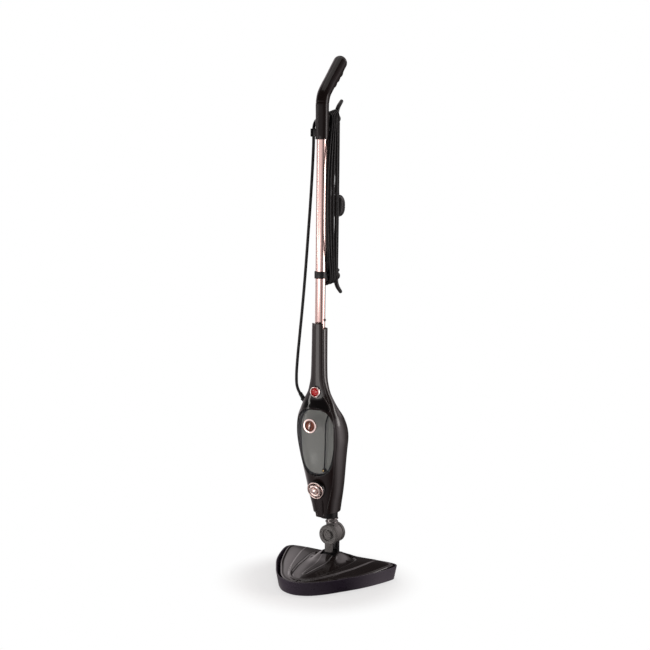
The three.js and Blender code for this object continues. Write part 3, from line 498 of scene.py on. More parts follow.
# Each finish: its slot, material name, colour, roughness and other settings
FINISH = {finish: (material(name, color, roughness, **rest), slot)
          for finish, slot, name, color, roughness, rest in (
    ("gloss", "body_gloss", "gloss_brown_black", (0.0145, 0.0088, 0.0084), 0.2,
     {"cloud": 0.12, "rough_spread": 0.03, **GLOSSY}),
    ("cover", "body_gloss", "cover_gloss", (0.0115, 0.0076, 0.0073), 0.1,
     {"cloud": 0.12, "rough_spread": 0.02, **coated(0.45, 0.35, 0.03)}),
    ("handle", "body_gloss", "grip_black", (0.0095, 0.0060, 0.0056), 0.17,
     {"cloud": 0.12, "rough_spread": 0.03, **coated(0.17, 0.12)}),
    ("inlay", "body_gloss", "inlay_black", (0.004, 0.0032, 0.0032), 0.1,
     {"cloud": 0.1, "rough_spread": 0.02, **GLOSSY}),
    ("black", "black_plastic", "satin_black", (0.0055, 0.0052, 0.0055), 0.34,
     {"grain": 0.15, "grain_size": 0.3, "Specular_IOR_Level": 0.35}),
    ("tray", "tray_plastic", "tray_purple_black", (0.030, 0.022, 0.036), 0.3,
     {"grain": 0.04, "grain_size": 0.3, "cloud": 0.12, "cloud_size": 30, "Specular_IOR_Level": 0.4}),
    ("grey", "grey_plastic", "textured_grey", (0.15, 0.143, 0.137), 0.42,
     {"grain": 0.9, "grain_size": 0.7, "cloud": 0.28, "cloud_size": 1.6}),
    ("rose", "rose_gold", "rose_gold", (0.90, 0.65, 0.60), 0.2,
     {"cloud": 0.03, "cloud_size": 40, "stretch": (1, 1, 0.12), "rough_spread": 0.015, **METAL}),
    ("rose_bright", "rose_gold", "rose_polished", (0.96, 0.79, 0.74), 0.12,
     {"cloud": 0.03, "rough_spread": 0.03, **METAL}),
    # Near-black copy of the rose gold for the cap's dish: painted shade and dark reflection, not a darker
    # metal
    ("rose_painted_shade", "rose_gold", "rose_shade", (0.13, 0.050, 0.036), 0.22,
     {"cloud": 0.12, "cloud_size": 4, **METAL}),
    # Chrome darkened to a grey: painted shade that stands in for its dim reflections
    ("chrome", "bright_chrome", "chrome_painted_shade", (0.24, 0.222, 0.218), 0.22,
     {"cloud": 0.02, "rough_spread": 0.03, **METAL}),
    ("steel", "plain_steel", "plain_steel", (0.55, 0.55, 0.56), 0.3, {"grain": 0.1, "cloud": 0.05, **METAL}),
    ("alloy", "cast_alloy", "cast_alloy", (0.55, 0.56, 0.57), 0.5,
     {"metallic": 0.9, "grain": 0.6, "grain_size": 0.8}),
    ("brass", "valve_brass", "machined_brass", (0.72, 0.52, 0.22), 0.28, {"cloud": 0.05, **METAL}),
    ("tank", "smoked_tank", "smoked_tank", (0.060, 0.067, 0.076), 0.12,
     {"cloud": 0.05, "cloud_size": 35, "rough_spread": 0.03, "Alpha": 0.27, **GLOSSY}),
    # Pale liner colour, raised to stand for light inside the tank: painted light on an inner wall
    ("tank_painted_light", "smoked_tank", "tank_liner_painted_light", (0.78, 0.82, 0.76), 0.5, {"cloud_size": 30}),
    ("red", "red_lens", "red_lens", (0.62, 0.010, 0.012), 0.12,
     {"cloud": 0.08, "cloud_size": 5, "Subsurface_Weight": 0.15, **GLOSSY}),
    ("rubber", "black_rubber", "cord_rubber", (0.0042, 0.0042, 0.0046), 0.3,
     {"grain": 0.25, "grain_size": 0.5, "cloud": 0.15, "cloud_size": 9, "Specular_IOR_Level": 0.22}),
    ("silicone", "pale_silicone", "pale_silicone", (0.60, 0.58, 0.53), 0.45, {"Subsurface_Weight": 0.2}),
    ("board", "circuit_board", "solder_mask", (0.02, 0.15, 0.06), 0.4, {"cloud": 0.3, "cloud_size": 3}),
    ("hooks", "black_rubber", "hook_nap", (0.02, 0.02, 0.021), 0.9,
     {"grain": 1.0, "grain_size": 0.9, "cloud": 0.3, "cloud_size": 1.5}),
    ("pad", "pad_cloth", "microfibre", (0.66, 0.65, 0.62), 0.95,
     {"grain": 1.0, "grain_size": 1.1, "cloud": 0.16, "cloud_size": 3, "Sheen_Weight": 0.5,
      "Sheen_Roughness": 0.4}),
)}


# ---- camera and studio
VIEW_AZIMUTH = math.radians(30)
VIEW_PITCH = math.radians(8.19)
VIEW_ROLL = math.radians(0.611)
VIEW_PLACE = (1.470, -2.5571, 0.9951)
VIEW_LENS = 76.8
VIEW_SHIFT = 0.0098


def make_camera():
    data = bpy.data.cameras.new("camera")
    data.lens = VIEW_LENS
    data.sensor_width = 36
    data.shift_x = VIEW_SHIFT
    data.clip_end = 60
    camera = placed("camera", data)
    turn = Matrix.Rotation(VIEW_AZIMUTH, 4, "Z") @ Matrix.Rotation(math.pi / 2 - VIEW_PITCH, 4, "X")
    camera.matrix_world = Matrix.Translation(VIEW_PLACE) @ turn @ Matrix.Rotation(VIEW_ROLL, 4, "Z")
    bpy.context.scene.camera = camera


def softbox(name, azimuth, distance, centre_z, width, height, power):
    """Upright rectangular light round the object, facing its axis."""
    data = bpy.data.lights.new(name, "AREA")
    data.shape = "RECTANGLE"
    data.size, data.size_y = width, height
    data.energy = power
    data.color = (1.0, 0.965, 0.935)
    light = placed(name, data)
    a = math.radians(azimuth)
    light.location = Vector((math.sin(a) * distance, -math.cos(a) * distance, centre_z))
    facing = Vector((0, 0, centre_z)) - light.location
    light.rotation_euler = facing.to_track_quat("-Z", "Y").to_euler()
    light.visible_camera = False
    return light


# Brightness of the walls round the object, and of the air above them, by azimuth in degrees from
# the front, turning to the right
ROOM = [
    (-180, 0.04), (-148, 0.05), (-136, 0.8), (-112, 1.0), (-96, 0.6), (-60, 0.5), (-52, 0.62),
    (-30, 0.9), (24, 0.78), (50, 0.3), (62, 0.06), (72, 0.08), (90, 0.9), (114, 2.0), (134, 1.0),
    (152, 0.2), (180, 0.04),
]
ABOVE = [
    (-180, 0.26), (-168, 0.07), (-152, 0.05), (-134, 1.0), (-106, 0.85), (-72, 0.1), (-20, 0.06),
    (40, 0.06), (96, 0.08), (130, 0.6), (152, 1.4), (168, 1.0), (180, 0.26),
]
ROOM_STRENGTH = 2.0
ROOM_TINT = np.array([1, 0.91, 0.925])
# Floor: its radius, where it fades into the white, and how dark its glow mirrors the room at its middle, as
# painted shade round the object
FLOOR_R = 1.1
FADE_NEAR, FADE_FAR = 0.14, 0.24
MIDDLE_R, MIDDLE_SHADE_SHARE = 0.15, 0.36


def azimuth_ramps(tree, direction, *tables):
    """The height in a direction, and the colour that each table gives for its azimuth."""
    parts = add(tree, "SeparateXYZ", {"Vector": direction}).outputs
    back = add(tree, "Math", {0: parts["Y"], 1: -1}, operation="MULTIPLY").outputs["Value"]
    around = add(tree, "Math", {0: parts["X"], 1: back}, operation="ARCTAN2").outputs["Value"]
    turn = add(tree, "Math", {0: around, 1: 1 / TAU, 2: 0.5}, operation="MULTIPLY_ADD").outputs["Value"]
    colors = []
    for table in tables:
        ramp = add(tree, "ValToRGB", {"Fac": turn})
        elements = ramp.color_ramp.elements
        while len(elements) < len(table):
            elements.new(0.5)
        for element, (azimuth, level) in zip(elements, table):
            element.position = azimuth / 360 + 0.5
            element.color = (*(level / ROOM_STRENGTH * ROOM_TINT), 1)
        colors.append(ramp.outputs["Color"])
    return parts["Z"], colors


def show_camera(tree, output, seen, others):
    """Gives the camera one shader, and every other ray another."""
    camera_ray = add(tree, "LightPath", {}).outputs["Is Camera Ray"]
    mix = add(tree, "MixShader", {"Fac": camera_ray, 1: others, 2: seen})
    feed(tree, tree.nodes[output], {"Surface": mix.outputs["Shader"]})


def make_room():
    """White behind the object, and a room of light and dark walls for it to reflect."""
    world = bpy.data.worlds.new("studio")
    world.use_nodes = True
    bpy.context.scene.world = world
    tree = world.node_tree
    white = feed(tree, tree.nodes["Background"], {"Color": (1, 1, 1, 1)})
    direction = add(tree, "TexCoord", {}).outputs["Generated"]
    height, (walls, air) = azimuth_ramps(tree, direction, ROOM, ABOVE)
    upward = add(tree, "MapRange", {"Value": height, "From Min": 0.04, "From Max": 0.30},
                 interpolation_type="SMOOTHSTEP")
    room = add(tree, "Mix", {"Factor": upward.outputs["Result"], "A": walls, "B": air}, data_type="RGBA")
    lit = add(tree, "Background", {"Color": room.outputs["Result"], "Strength": ROOM_STRENGTH})
    show_camera(tree, "World Output", white.outputs["Background"], lit.outputs["Background"])


def make_floor():
    """Pale floor with a shadow near the object. It fades into the white room, and to all but camera rays it
    glows with the walls' colours, a painted reflection of the room that is dimmed near the object as painted
    shade.
    """
    mesh = bpy.data.meshes.new("floor")
    rim = [(FLOOR_R * math.cos(TAU * i / 64), FLOOR_R * math.sin(TAU * i / 64), 0) for i in range(64)]
    mesh.from_pydata(rim, [], [tuple(range(64))])
    mat = bpy.data.materials.new("pale_floor")
    mat.use_nodes = True
    tree = mat.node_tree
    place = add(tree, "TexCoord", {}).outputs["Object"]
    reach = add(tree, "VectorMath", {0: place}, operation="LENGTH").outputs["Value"]

    def by_reach(near, far, low, high):
        inputs = {"Value": reach, "From Min": near, "From Max": far, "To Min": low, "To Max": high}
        return add(tree, "MapRange", inputs, interpolation_type="SMOOTHSTEP").outputs["Result"]

    pale = feed(tree, tree.nodes["Principled BSDF"], {"Roughness": 0.6, "Base Color": (0.93, 0.93, 0.93, 1)})
    glow = add(tree, "Emission", {})
    seen = add(tree, "MixShader", {"Fac": by_reach(FADE_NEAR, FADE_FAR, 0.6, 1.0),
                                   1: pale.outputs["BSDF"], 2: glow.outputs["Emission"]})
    # Glow for all but camera rays: a painted reflection of the walls, dimmed near the middle as painted shade
    _, (walls,) = azimuth_ramps(tree, place, ROOM)
    strength = by_reach(MIDDLE_R, FLOOR_R, MIDDLE_SHADE_SHARE * ROOM_STRENGTH, ROOM_STRENGTH)
    painted_reflection = add(tree, "Emission", {"Color": walls, "Strength": strength})
    show_camera(tree, "Material Output", seen.outputs["Shader"], painted_reflection.outputs["Emission"])
    mesh.materials.append(mat)
    placed("floor", mesh)


def make_lights():
    softbox("key_low", -8, 1.5, 0.30, 1.1, 0.66, 4.4)
    softbox("strip_left", -53, 1.6, 0.80, 0.22, 0.84, 2.4)
    softbox("strip_right", 110, 1.6, 0.86, 0.46, 1.3, 8.5)
    softbox("card_front", -30, 0.30, 0.06, 0.16, 0.10, 0.12)
    top = softbox("top", 0, 0.01, 2.8, 1.8, 1.8, 14)
    top.rotation_euler = (0, 0, 0)


bpy.context.scene.view_settings.view_transform = "Standard"
make_camera()
make_room()
make_floor()
make_lights()


# ---- cord
PITCH = 7.0
TURN_R = 10.55
FIRST_Y = HANK_FRONT + CORD_R + 0.05
# Turn by turn: how far its strands lean forward and swell sideways, and how far its foot hangs low
LEAN = {-1: [5.0, 2.6, 1.2, 0.2, -1.0], 1: [33, 25, 13, 1.4, 0.0]}
SWELL = {-1: [4.9, 3.6, 4.4, 3.1, 3.4], 1: [8.5, 7.2, 4.0, 1.8, 0.8]}
SAG = [3.4, 1.0, 2.6, 0.0, 1.4]
CORD_STEP = 3.4


def strand(turn, side, share, y):
    """Point on the left (-1) or right (1) strand of a turn, share of the way up."""
    arch = math.sin(math.pi * share) ** 0.7
    swell = SWELL[side][turn] * (arch if side < 0 else math.sqrt(arch))
    low = PEG_LOW - SAG[turn]
    return side * (TURN_R + swell), y - LEAN[side][turn] * arch, low + (PEG_TOP - low) * share


def hank_points():
    """Five long turns round the two pegs, worked out turn by turn."""
    points = []
    for turn in range(5):
        y = FIRST_Y + turn * PITCH
        downward = [1 - i / 8 for i in range(9)]
        points += [strand(turn, -1, share, y) for share in downward if turn > 0 or share < 0.4]
        for i in range(1, 6):
            a = math.pi + math.pi * i / 6
            points.append((TURN_R * math.cos(a), y, PEG_LOW - SAG[turn] + TURN_R * math.sin(a)))
        points += [strand(turn, 1, i / 8, y) for i in range(9)]
        for i in range(1, 6):
            a = math.pi * i / 6
            step = PITCH * smooth(i / 6, 0, 1)
            points.append((TURN_R * math.cos(a), y + step, PEG_TOP + (TURN_R + 1.5 * turn) * math.sin(a)))
    return points


def make_cord():
    """The whole cord as one tube, with its path and its length."""
    joining = [(-16.2, 17.4, 874), (-12.6, 17.0, 845)]
    leaving = [(-TURN_R, HANK_BACK + 3.4, 1004)]
    route = CORD_ROUTE + joining + hank_points() + leaving + TAIL_ROUTE
    length = np.linalg.norm(np.diff(spline(route, 600), axis=0), axis=1).sum()
    path = spline(route, int(length / CORD_STEP))
    tube = loft(swept_rings(path, CORD_R, 14))
    piece(tube, "power_cord", "main", "rubber", ("cord_run", "cord_hank", "cord_tail"))
    return tube, path, length


# ---- plug
def ribbed(first_r, last_r, length, ribs):
    """Profile of a tapered strain relief with ribs: (radius, distance) pairs."""
    points = []
    steps = ribs * 6
    for i in range(steps + 1):
        share = i / steps
        wave = 0.5 - 0.5 * math.cos(TAU * ribs * share)
        points.append((first_r + (last_r - first_r) * share - 0.55 * (1 - wave), length * share))
    return points


def make_plug():
    x, y, z = PLUG
    angles = round_angles(72)
    across, up = signed_power(np.cos(angles), 0.8), signed_power(np.sin(angles), 0.8)
    body = loft([np.stack([(18 - inset) * across, np.full(72, y + level), z + (24 - inset) * up], 1)
                 for inset, level in rounded_ends(6, -10.5, 10.5, 6)])
    grips = [block((sx * 17.6 - 1.6, y - 20, z - 12 + 5 * i), (sx * 17.6 + 1.6, y + 20, z - 9.8 + 5 * i), 0.5)
             for sx in (-1, 1) for i in range(5)]
    pieces = [piece(combine(body, grips), "plug", "main", "black", "plug_body")]
    for side, name in ((-1, "plug_pin_low"), (1, "plug_pin_high")):
        profile = fillet([(0, 0), (2.4, 0), (2.4, 16.4), (1.4, 17.7), (0, 17.7)], 0.5)
        pin = revolve(profile, (x, y - 10.8, z + 9.5 * side), AHEAD, 32)
        pieces.append(piece(pin, name + "_tip", "main", "steel", name))
    profile = [(0, 0), *ribbed(6.4, 4.5, 26, 6), (0, 26)]
    relief = revolve(profile, (x, y, z + 24.4), UP, 40)
    pieces.append(piece(relief, "plug_sleeve", "main", "rubber", "plug_relief"))
    return pieces


# ---- glider and head
HEAD_HUB = (0, 25)
COVER_INSET = 9
COVER_STEPS = 380


def spoke(hub, rim, t):
    """Outline rim drawn in towards its hub: 1 is the rim itself, 0 the hub."""
    return hub + (rim - hub) * t


def at_level(shape, z):
    return np.column_stack([shape, np.full(len(shape), float(z))])


def make_tray():
    profile = fillet([(16, 0), (6, 0), (0, 31), (3, 31), (9, 3), (16, 3)], 1.4, 5)
    rings = [at_level(outline(HEAD_HALF, 260, -inset), z) for inset, z in profile if inset < 12]
    tray = loft(rings, hub=HEAD_HUB)
    slots = []
    for side in (-1, 1):
        for y in (-30, 0, 30, 60):
            middle = side * (30 + 0.35 * (y + 30))
            slots.append(block((middle - 16, y - 3.5, -2), (middle + 16, y + 3.5, 6), 0.0))
    piece(combine(tray, slots), "glider", "glider", "tray", "glider_tray", crease=40)


# Half widths of the head cover's console and of the dished panel in it, from the front
CONSOLE = [(-96, 0), (-93, 10), (-87, 20), (-75, 31), (-58, 41), (-25, 56), (25, 73), (66, 84), (104, 91),
           (130, 94)]
DISH = [(-88, 0), (-85.5, 11), (-80, 20), (-68, 29), (-55, 35), (-12, 46), (43, 54.5), (62, 55.5),
        (74, 52.5), (82, 42), (86.5, 24), (88, 0)]
SPINE = [(-66, 0), (-62, 4.5), (-20, 8), (36, 13), (60, 14)]


def width_at(table, y):
    """Half width from a table at y, and less than nothing past a closed end."""
    keys, values = zip(*table)
    return np.interp(y, keys, values, left=-8, right=values[-1] if values[-1] > 0 else -8)


def quarter_round(distance, edge, depth):
    """Drop of a rim that is rounded over the distance edge."""
    t = np.clip(1 - distance / edge, 0, 1)
    return depth * (1 - np.sqrt(np.clip(1 - t ** 2, 0, 1)))


def cover_top(x, y, t, from_rim):
    """Height of the head cover's skin: its crown, the console's step, the dish in it and the spine."""
    rise = 7 * smooth(y, 10, 105)
    crown = 27 + rise + (9 - 0.7 * rise) * (1 - t ** 2.4)
    hood = 18 * np.exp(-((x / 34) ** 4) - (((y - 58) / 30) ** 2))
    inside = (width_at(CONSOLE, y) - np.abs(x)) * 0.88
    step = 2.4 * smooth(inside, -2.4, 2.4) + 0.5 * np.exp(-((inside / 1.5) ** 2)) - 0.6
    wing = -1.0 * smooth(-inside, 2, 30)
    dish = (width_at(DISH, y) - np.abs(x)) * 0.9
    hollow = -3.0 * smooth(dish, -1.2, 2.0) - 0.8 * np.exp(-(((dish - 2.2) / 1.2) ** 2))
    floor_rise = 1.6 * smooth(dish, 3, 26)
    spine = (width_at(SPINE, y) - np.abs(x)) * 0.95
    rib = 2.2 * smooth(spine, -1.2, 1.6)
    flat_rim = smooth(from_rim, 3, 10)
    calm = 1 - 0.85 * np.exp(-((x / 36) ** 4) - (((y - 58) / 27) ** 2))
    relief = (step + wing + (hollow + floor_rise + rib) * calm) * flat_rim
    return crown + hood + relief - quarter_round(from_rim, 4, 3.0)


def make_cover():
    hub = np.array(HEAD_HUB, float)

    def rim(inset):
        return outline(HEAD_HALF, COVER_STEPS, -inset)

    outer = rim(COVER_INSET)
    reach = np.linalg.norm(outer - hub, axis=1)

    def ring(t, drop=0.0):
        p = spoke(hub, outer, t)
        return np.column_stack([p, cover_top(p[:, 0], p[:, 1], t, (1 - t) * reach) - drop])

    shares = [1, 0.997, 0.992, 0.985, 0.975, *np.linspace(0.965, 0.03, 120)]
    rings = [ring(t) for t in reversed(shares)]
    rings += [at_level(rim(inset), z)
              for inset, z in ((COVER_INSET, 15.1), (9.6, 14.5), (11, 14.5), (11.5, 15.1), (11.5, 19))]
    rings += [ring(t, 4.2) for t in (0.93, 0.75, 0.5, 0.25)]
    half = BARREL_HALF + 1
    well = block((-half, PIVOT_Y - 22, 8), (half, PIVOT_Y + 22, 66), 2.0)
    stem_well = block((-15, PIVOT_Y, 30), (15, PIVOT_Y + 60, 66), 2.0)
    cover = combine(loft(rings, hub=HEAD_HUB), [well, stem_well])
    piece(cover, "cover", "head", "cover", "head_cover", crease=38)


def make_sole():
    shape = outline(HEAD_HALF, 220, -12.5)
    plate = prism(shape, "z", 9.5, 14, 0.8, hub=HEAD_HUB)
    vents = []
    for side in (-1, 1):
        for i in range(5):
            x, y = side * (14 + 17 * i), -4.5 + 11 * i
            vents.append(block((x - 4, y - 1.5, 8), (x + 4, y + 1.5, 16), 0.0))
    piece(combine(plate, vents), "sole", "head", "black", "sole_plate")


def make_pad():
    """Microfibre pad: crowned edge, sewn border and quilted channels on its underside."""
    hub = np.array(HEAD_HUB, float)
    rim = outline(HEAD_HALF, 240, -12.2)

    def skin(t, top=False):
        p = spoke(hub, rim, t)
        edge = (1 - t) * np.linalg.norm(rim - hub, axis=1)
        crown = quarter_round(edge, 3.2, 1.9)
        if top:
            return np.column_stack([p, 8.1 - crown])
        border = 0.9 * np.exp(-(((edge - 9) / 1.1) ** 2))
        channel = (p[:, 1] + 0.35 * np.abs(p[:, 0])) % 18 - 9
        quilt = 0.7 * np.exp(-(channel ** 2)) * smooth(edge, 10, 13)
        nap = 0.16 * np.sin(p[:, 0] * 1.9 + 2 * np.sin(p[:, 1] * 0.7)) * np.sin(p[:, 1] * 2.1)
        return np.column_stack([p, 3.75 + crown + border + quilt + nap * smooth(edge, 2, 4)])

    shares = [1, 0.998, 0.994, 0.988, 0.98, *np.linspace(0.965, 0.04, 80)]
    rings = [skin(t) for t in reversed(shares)] + [skin(t, True) for t in (0.998, 0.992, 0.98, 0.9, 0.5)]
    pad = piece(loft(rings, hub=HEAD_HUB), "microfibre_pad", "head", "pad", "mop_pad", crease=60)


def tilt_rod(radius, near, far, edge, segments):
    """Bar on the tilt axis, from one X to another."""
    return rod(radius, (near, PIVOT_Y, TILT_Z), (far, PIVOT_Y, TILT_Z), edge, segments)


def make_saddle():
    parts = [block((-33.5, PIVOT_Y - 18.5, 14.4), (33.5, PIVOT_Y + 18.5, 22), 1.0)]
    for side in (-1, 1):
        near, far = sorted(((BARREL_HALF + 0.6) * side, (BARREL_HALF + 6.5) * side))
        parts.append(block((near, PIVOT_Y - 10, 18), (far, PIVOT_Y + 10, TILT_Z), 0.8))
        parts.append(tilt_rod(6, near, far, 0.6, 64))
    cradle = combine(joined(*parts), [tilt_rod(TILT_BORE_R, -40, 40, 0.1, 32)])
    piece(cradle, "cradle", "head", "black", "tilt_saddle")
    piece(tilt_rod(4, -24, 24, 0.5, 40), "tilt_axle", "head", "steel", "tilt_pin")


# ---- neck
def knuckle_disc(near, far):
    """Thick disc along Y from near to far, with a turned groove on its rim."""
    r, length = DISC_R, abs(far - near)
    mid = length / 2
    profile = [
        (0, 0), (r - 0.6, 0), (r, 1.0), (r, mid - 0.7), (r - 0.7, mid - 0.35), (r - 0.7, mid + 0.35),
        (r, mid + 0.7), (r, length - 2.2), (r - 1.8, length - 0.5), (r - 2.6, length),
        (r - 3.4, length - 0.5), (0, length - 0.5),
    ]
    return revolve(fillet(profile, 0.35, 3), (0, near, KNUCKLE_Z), (0, far - near, 0), 96)


def knuckle_rod(radius, near, far, edge, segments):
    """Bar on the knuckle's axis, from one Y to another."""
    return rod(radius, (0, near, KNUCKLE_Z), (0, far, KNUCKLE_Z), edge, segments)


def make_fork():
    """Tilt barrel with its rear leg, two discs with the front leg, and the pin through them."""
    barrel = tilt_rod(14, -BARREL_HALF, BARREL_HALF, 1.6, 80)
    front, back = PIVOT_Y - FORK_HALF, PIVOT_Y + FORK_HALF
    slot_half = TONGUE_HALF + 0.6
    leg_top = KNUCKLE_Z - 15
    rear_leg = block((-8.4, PIVOT_Y + slot_half, TILT_Z + 4), (8.4, back - 0.4, leg_top), 2.0)
    barrel = combine(joined(barrel, rear_leg), [tilt_rod(TILT_BORE_R, -30, 30, 0.1, 32)])
    piece(barrel, "fork_barrel", "neck", "black")

    front_leg = block((-8.2, front + 0.4, TILT_Z + 14.4), (8.2, PIVOT_Y - slot_half, leg_top), 1.4)
    discs, cuts = [], [knuckle_rod(AXLE_BORE_R, 20, 100, 0.1, 40)]
    for side in (-1, 1):
        discs.append(knuckle_disc(PIVOT_Y + side * slot_half, PIVOT_Y + side * FORK_HALF))
        groove = fillet([(10.4, 0), (10.4, -3.0), (13.8, -3.0), (13.8, 4), (10.4, 4), (10.4, 0)], 0.4, 3)
        cuts.append(revolve(groove, (0, PIVOT_Y + side * (FORK_HALF - 0.5), KNUCKLE_Z), (0, side, 0), 72))
    piece(combine(joined(*discs, front_leg), cuts), "knuckle_fork", "neck", "grey", "neck_fork")

    reach = FORK_HALF + 1
    parts = [knuckle_rod(5, PIVOT_Y - reach, PIVOT_Y + reach, 0.3, 48)]
    for side in (-1, 1):
        profile = [(0, 0), (9.4, 0), (9.4, 1.0), (8.6, 1.85), (6.0, 1.85), (5.2, 1.45), (0, 1.45)]
        foot = (0, PIVOT_Y + side * (FORK_HALF + 0.05), KNUCKLE_Z)
        parts.append(revolve(fillet(profile, 0.4, 3), foot, (0, side, 0), 64))
    piece(joined(*parts), "knuckle_axle", "neck", "grey", "knuckle_pin")


def make_stem():
    """Tongue between the discs with its stem, the bright bands and the collar under the body."""
    half, r = TONGUE_HALF, DISC_R - 1.2
    profile = fillet([(0, 0), (DISC_R - 2.2, 0), (r, 1), (r, 2 * half - 1), (DISC_R - 2.2, 2 * half),
                      (0, 2 * half)], 0.5)
    disc = revolve(profile, (0, PIVOT_Y - half, KNUCKLE_Z), BEHIND, 96)
    web = block((-11, PIVOT_Y - half, KNUCKLE_Z), (11, PIVOT_Y + half - 1, KNUCKLE_Z + 26), 2)
    profile = fillet([(0, 0), (STEM_R, 0), (STEM_R, 2.8), (11.6, 3.2), (11.6, 9.8), (STEM_R, 10.2),
                      (STEM_R, 11), (STEM_R, 28.2), (0, 28.2)], 0.3, 3)
    stem = revolve(profile, (0, NECK_Y, KNUCKLE_Z + DISC_R + 0.8), UP, 64)
    steam_way = drill(4, (0, NECK_Y, KNUCKLE_Z + 12), (0, NECK_Y, 150), 32)
    tongue = combine(joined(disc, web, stem), [knuckle_rod(AXLE_BORE_R, 20, 100, 0.1, 40), steam_way])
    piece(tongue, "knuckle_tongue", "main", "grey", "neck_tongue")

    profile = fillet([(12.85, 1.3), (12.85, 0), (14.2, 0), (14.4, 1.3), (14.2, 2.6), (12.85, 2.6),
                      (12.85, 1.3)], 0.5)
    bands = [revolve(profile, (0, NECK_Y, z), UP, 80) for z in (121, 128.5)]
    tie = block((-1.5, NECK_Y - 14.1, 123), (1.5, NECK_Y - 12.9, 129.5), 0.3)
    piece(joined(*bands, tie), "neck_bands", "main", "chrome", "neck_rings")

    angles = round_angles(96)
    rings = [at_level(np.stack([(20 + grow) * np.sin(angles), 43 - (20.5 + grow) * np.cos(angles)], 1), z)
             for grow, z in ((0, 158), (0, 137), (-0.3, 136), (-1.2, 135.5), (-4, 135.5))]
    bore = drill(12.9, (0, NECK_Y, 120), (0, NECK_Y, 154), 64)
    piece(combine(loft(rings), [bore]), "neck_collar", "main", "black", "neck_socket")


# ---- body shells
def edge_stations(low, high, count):
    """Stations from low to high, closer together at both ends, where the edge rolls in."""
    near = [share * SHELL_EDGE for share in (0, 0.12, 0.35, 0.7, 1)]
    inner = list(np.linspace(low + SHELL_EDGE, high - SHELL_EDGE, count + 1))[1:-1]
    return [low + d for d in near] + inner + [high - d for d in reversed(near)]


def roll(distance, edge=SHELL_EDGE, depth=0.9):
    t = min(max(1 - distance / edge, 0), 1)
    return depth * (1 - math.sqrt(max(1 - t * t, 0)))


def shell(low, high, rows, columns, span, relief=None):
    """Wall between two heights and two seam angles, its four edges rolled in."""
    outer, inner = [], []
    for z in edge_stations(low, high, rows):
        start, end = span(z)
        scale = np.linalg.norm(np.subtract(body_point(z, start + 0.02), body_point(z, start))) / 0.02
        width = (end - start) * scale
        drop_row = max(roll(z - low), roll(high - z))
        out_row, in_row = [], []
        for s in edge_stations(0, width, columns):
            angle = start + (end - start) * s / width
            drop = max(drop_row, roll(s), roll(width - s))
            extra = relief(z, angle - (start + end) / 2) if relief else 0.0
            out_row.append(body_point(z, angle, extra - drop))
            in_row.append(body_point(z, angle, -SHELL_WALL))
        outer.append(out_row)
        inner.append(in_row)
    return slab(outer, inner)


def nose_grooves(z, angle):
    """Two shallow finger grooves down the front shell, under the knob."""
    fade = smooth(z, 146, 156) * (1 - smooth(z, 176, 192))
    side = abs(abs(angle) - math.radians(15))
    return -2.1 * float(fade) * max(1 - side / math.radians(3.2), 0)


KNOB_NORMAL = (0, -math.cos(KNOB_TILT), -math.sin(KNOB_TILT))
KNOB_SEAT = np.array([0, between(SECTIONS, KNOB_Z, 2), KNOB_Z])


def from_knob(distance):
    return KNOB_SEAT + np.array(KNOB_NORMAL) * distance


def make_front_shell():
    front = shell(FRONT_LOW, FRONT_HIGH, 135, 76, lambda z: (-seam(z), seam(z)), nose_grooves)
    window = prism(outline(TANK_HALF, 160, 1.2), "y", -60, 10)
    button = drill(9.6, (0, -40, BUTTON_Z), (0, 0, BUTTON_Z), 64)
    knob = drill(8, from_knob(12), from_knob(-12), 48)
    piece(combine(front, [window, button, knob]), "front_casing", "main", "gloss", "front_shell", crease=40)

    ring = outline(TANK_HALF, 240, 1.0)
    lip = np.array([(x, body_front(x, z, -0.35), z) for x, z in ring])
    closed = np.vstack([lip[-2:], lip, lip[:2]])
    rings = swept_rings(closed, 0.75, 10)[2:-2]
    rim = loft(np.vstack([rings, rings[:1]]), caps=False)
    piece(rim, "tank_window_lip", "main", "inlay")


def make_badge():
    """Glossy inlay that runs from round the button down to the tank."""
    rim = outline(BADGE_HALF, 220)
    hub = np.array([0, 410.0])
    rings = []
    for t in reversed([1, 0.995, 0.985, 0.97, *np.linspace(0.94, 0.06, 26)]):
        edges = (1 - t) * np.linalg.norm(rim - hub, axis=1)
        rings.append([(x, body_front(x, z, 0.35 - roll(edge, 0.6, 0.4)), z)
                      for (x, z), edge in zip(spoke(hub, rim, t), edges)])
    rings += [[(x, body_front(x, z, -0.6), z) for x, z in spoke(hub, rim, t)] for t in (1, 0.6, 0.2)]
    badge = loft(rings)
    hole = drill(9.4, (0, -60, BUTTON_Z), (0, 0, BUTTON_Z), 64)
    piece(combine(badge, [hole]), "button_inlay", "main", "inlay", crease=40)

    # Thin pale bead along the inlay's lower edge: a painted highlight where the edge catches the light
    line = spline([(13.2, 423.2), (17.9, 417), (23.4, 410), (28.8, 402.4), (33.4, 394.6), (35.8, 389)], 60)
    path = [(x, body_front(x, z, 0.25), z) for x, z in line + [1.1, 0.8]]
    piece(sweep(path, 0.32, 8), "inlay_edge_highlight", "main", "grey")


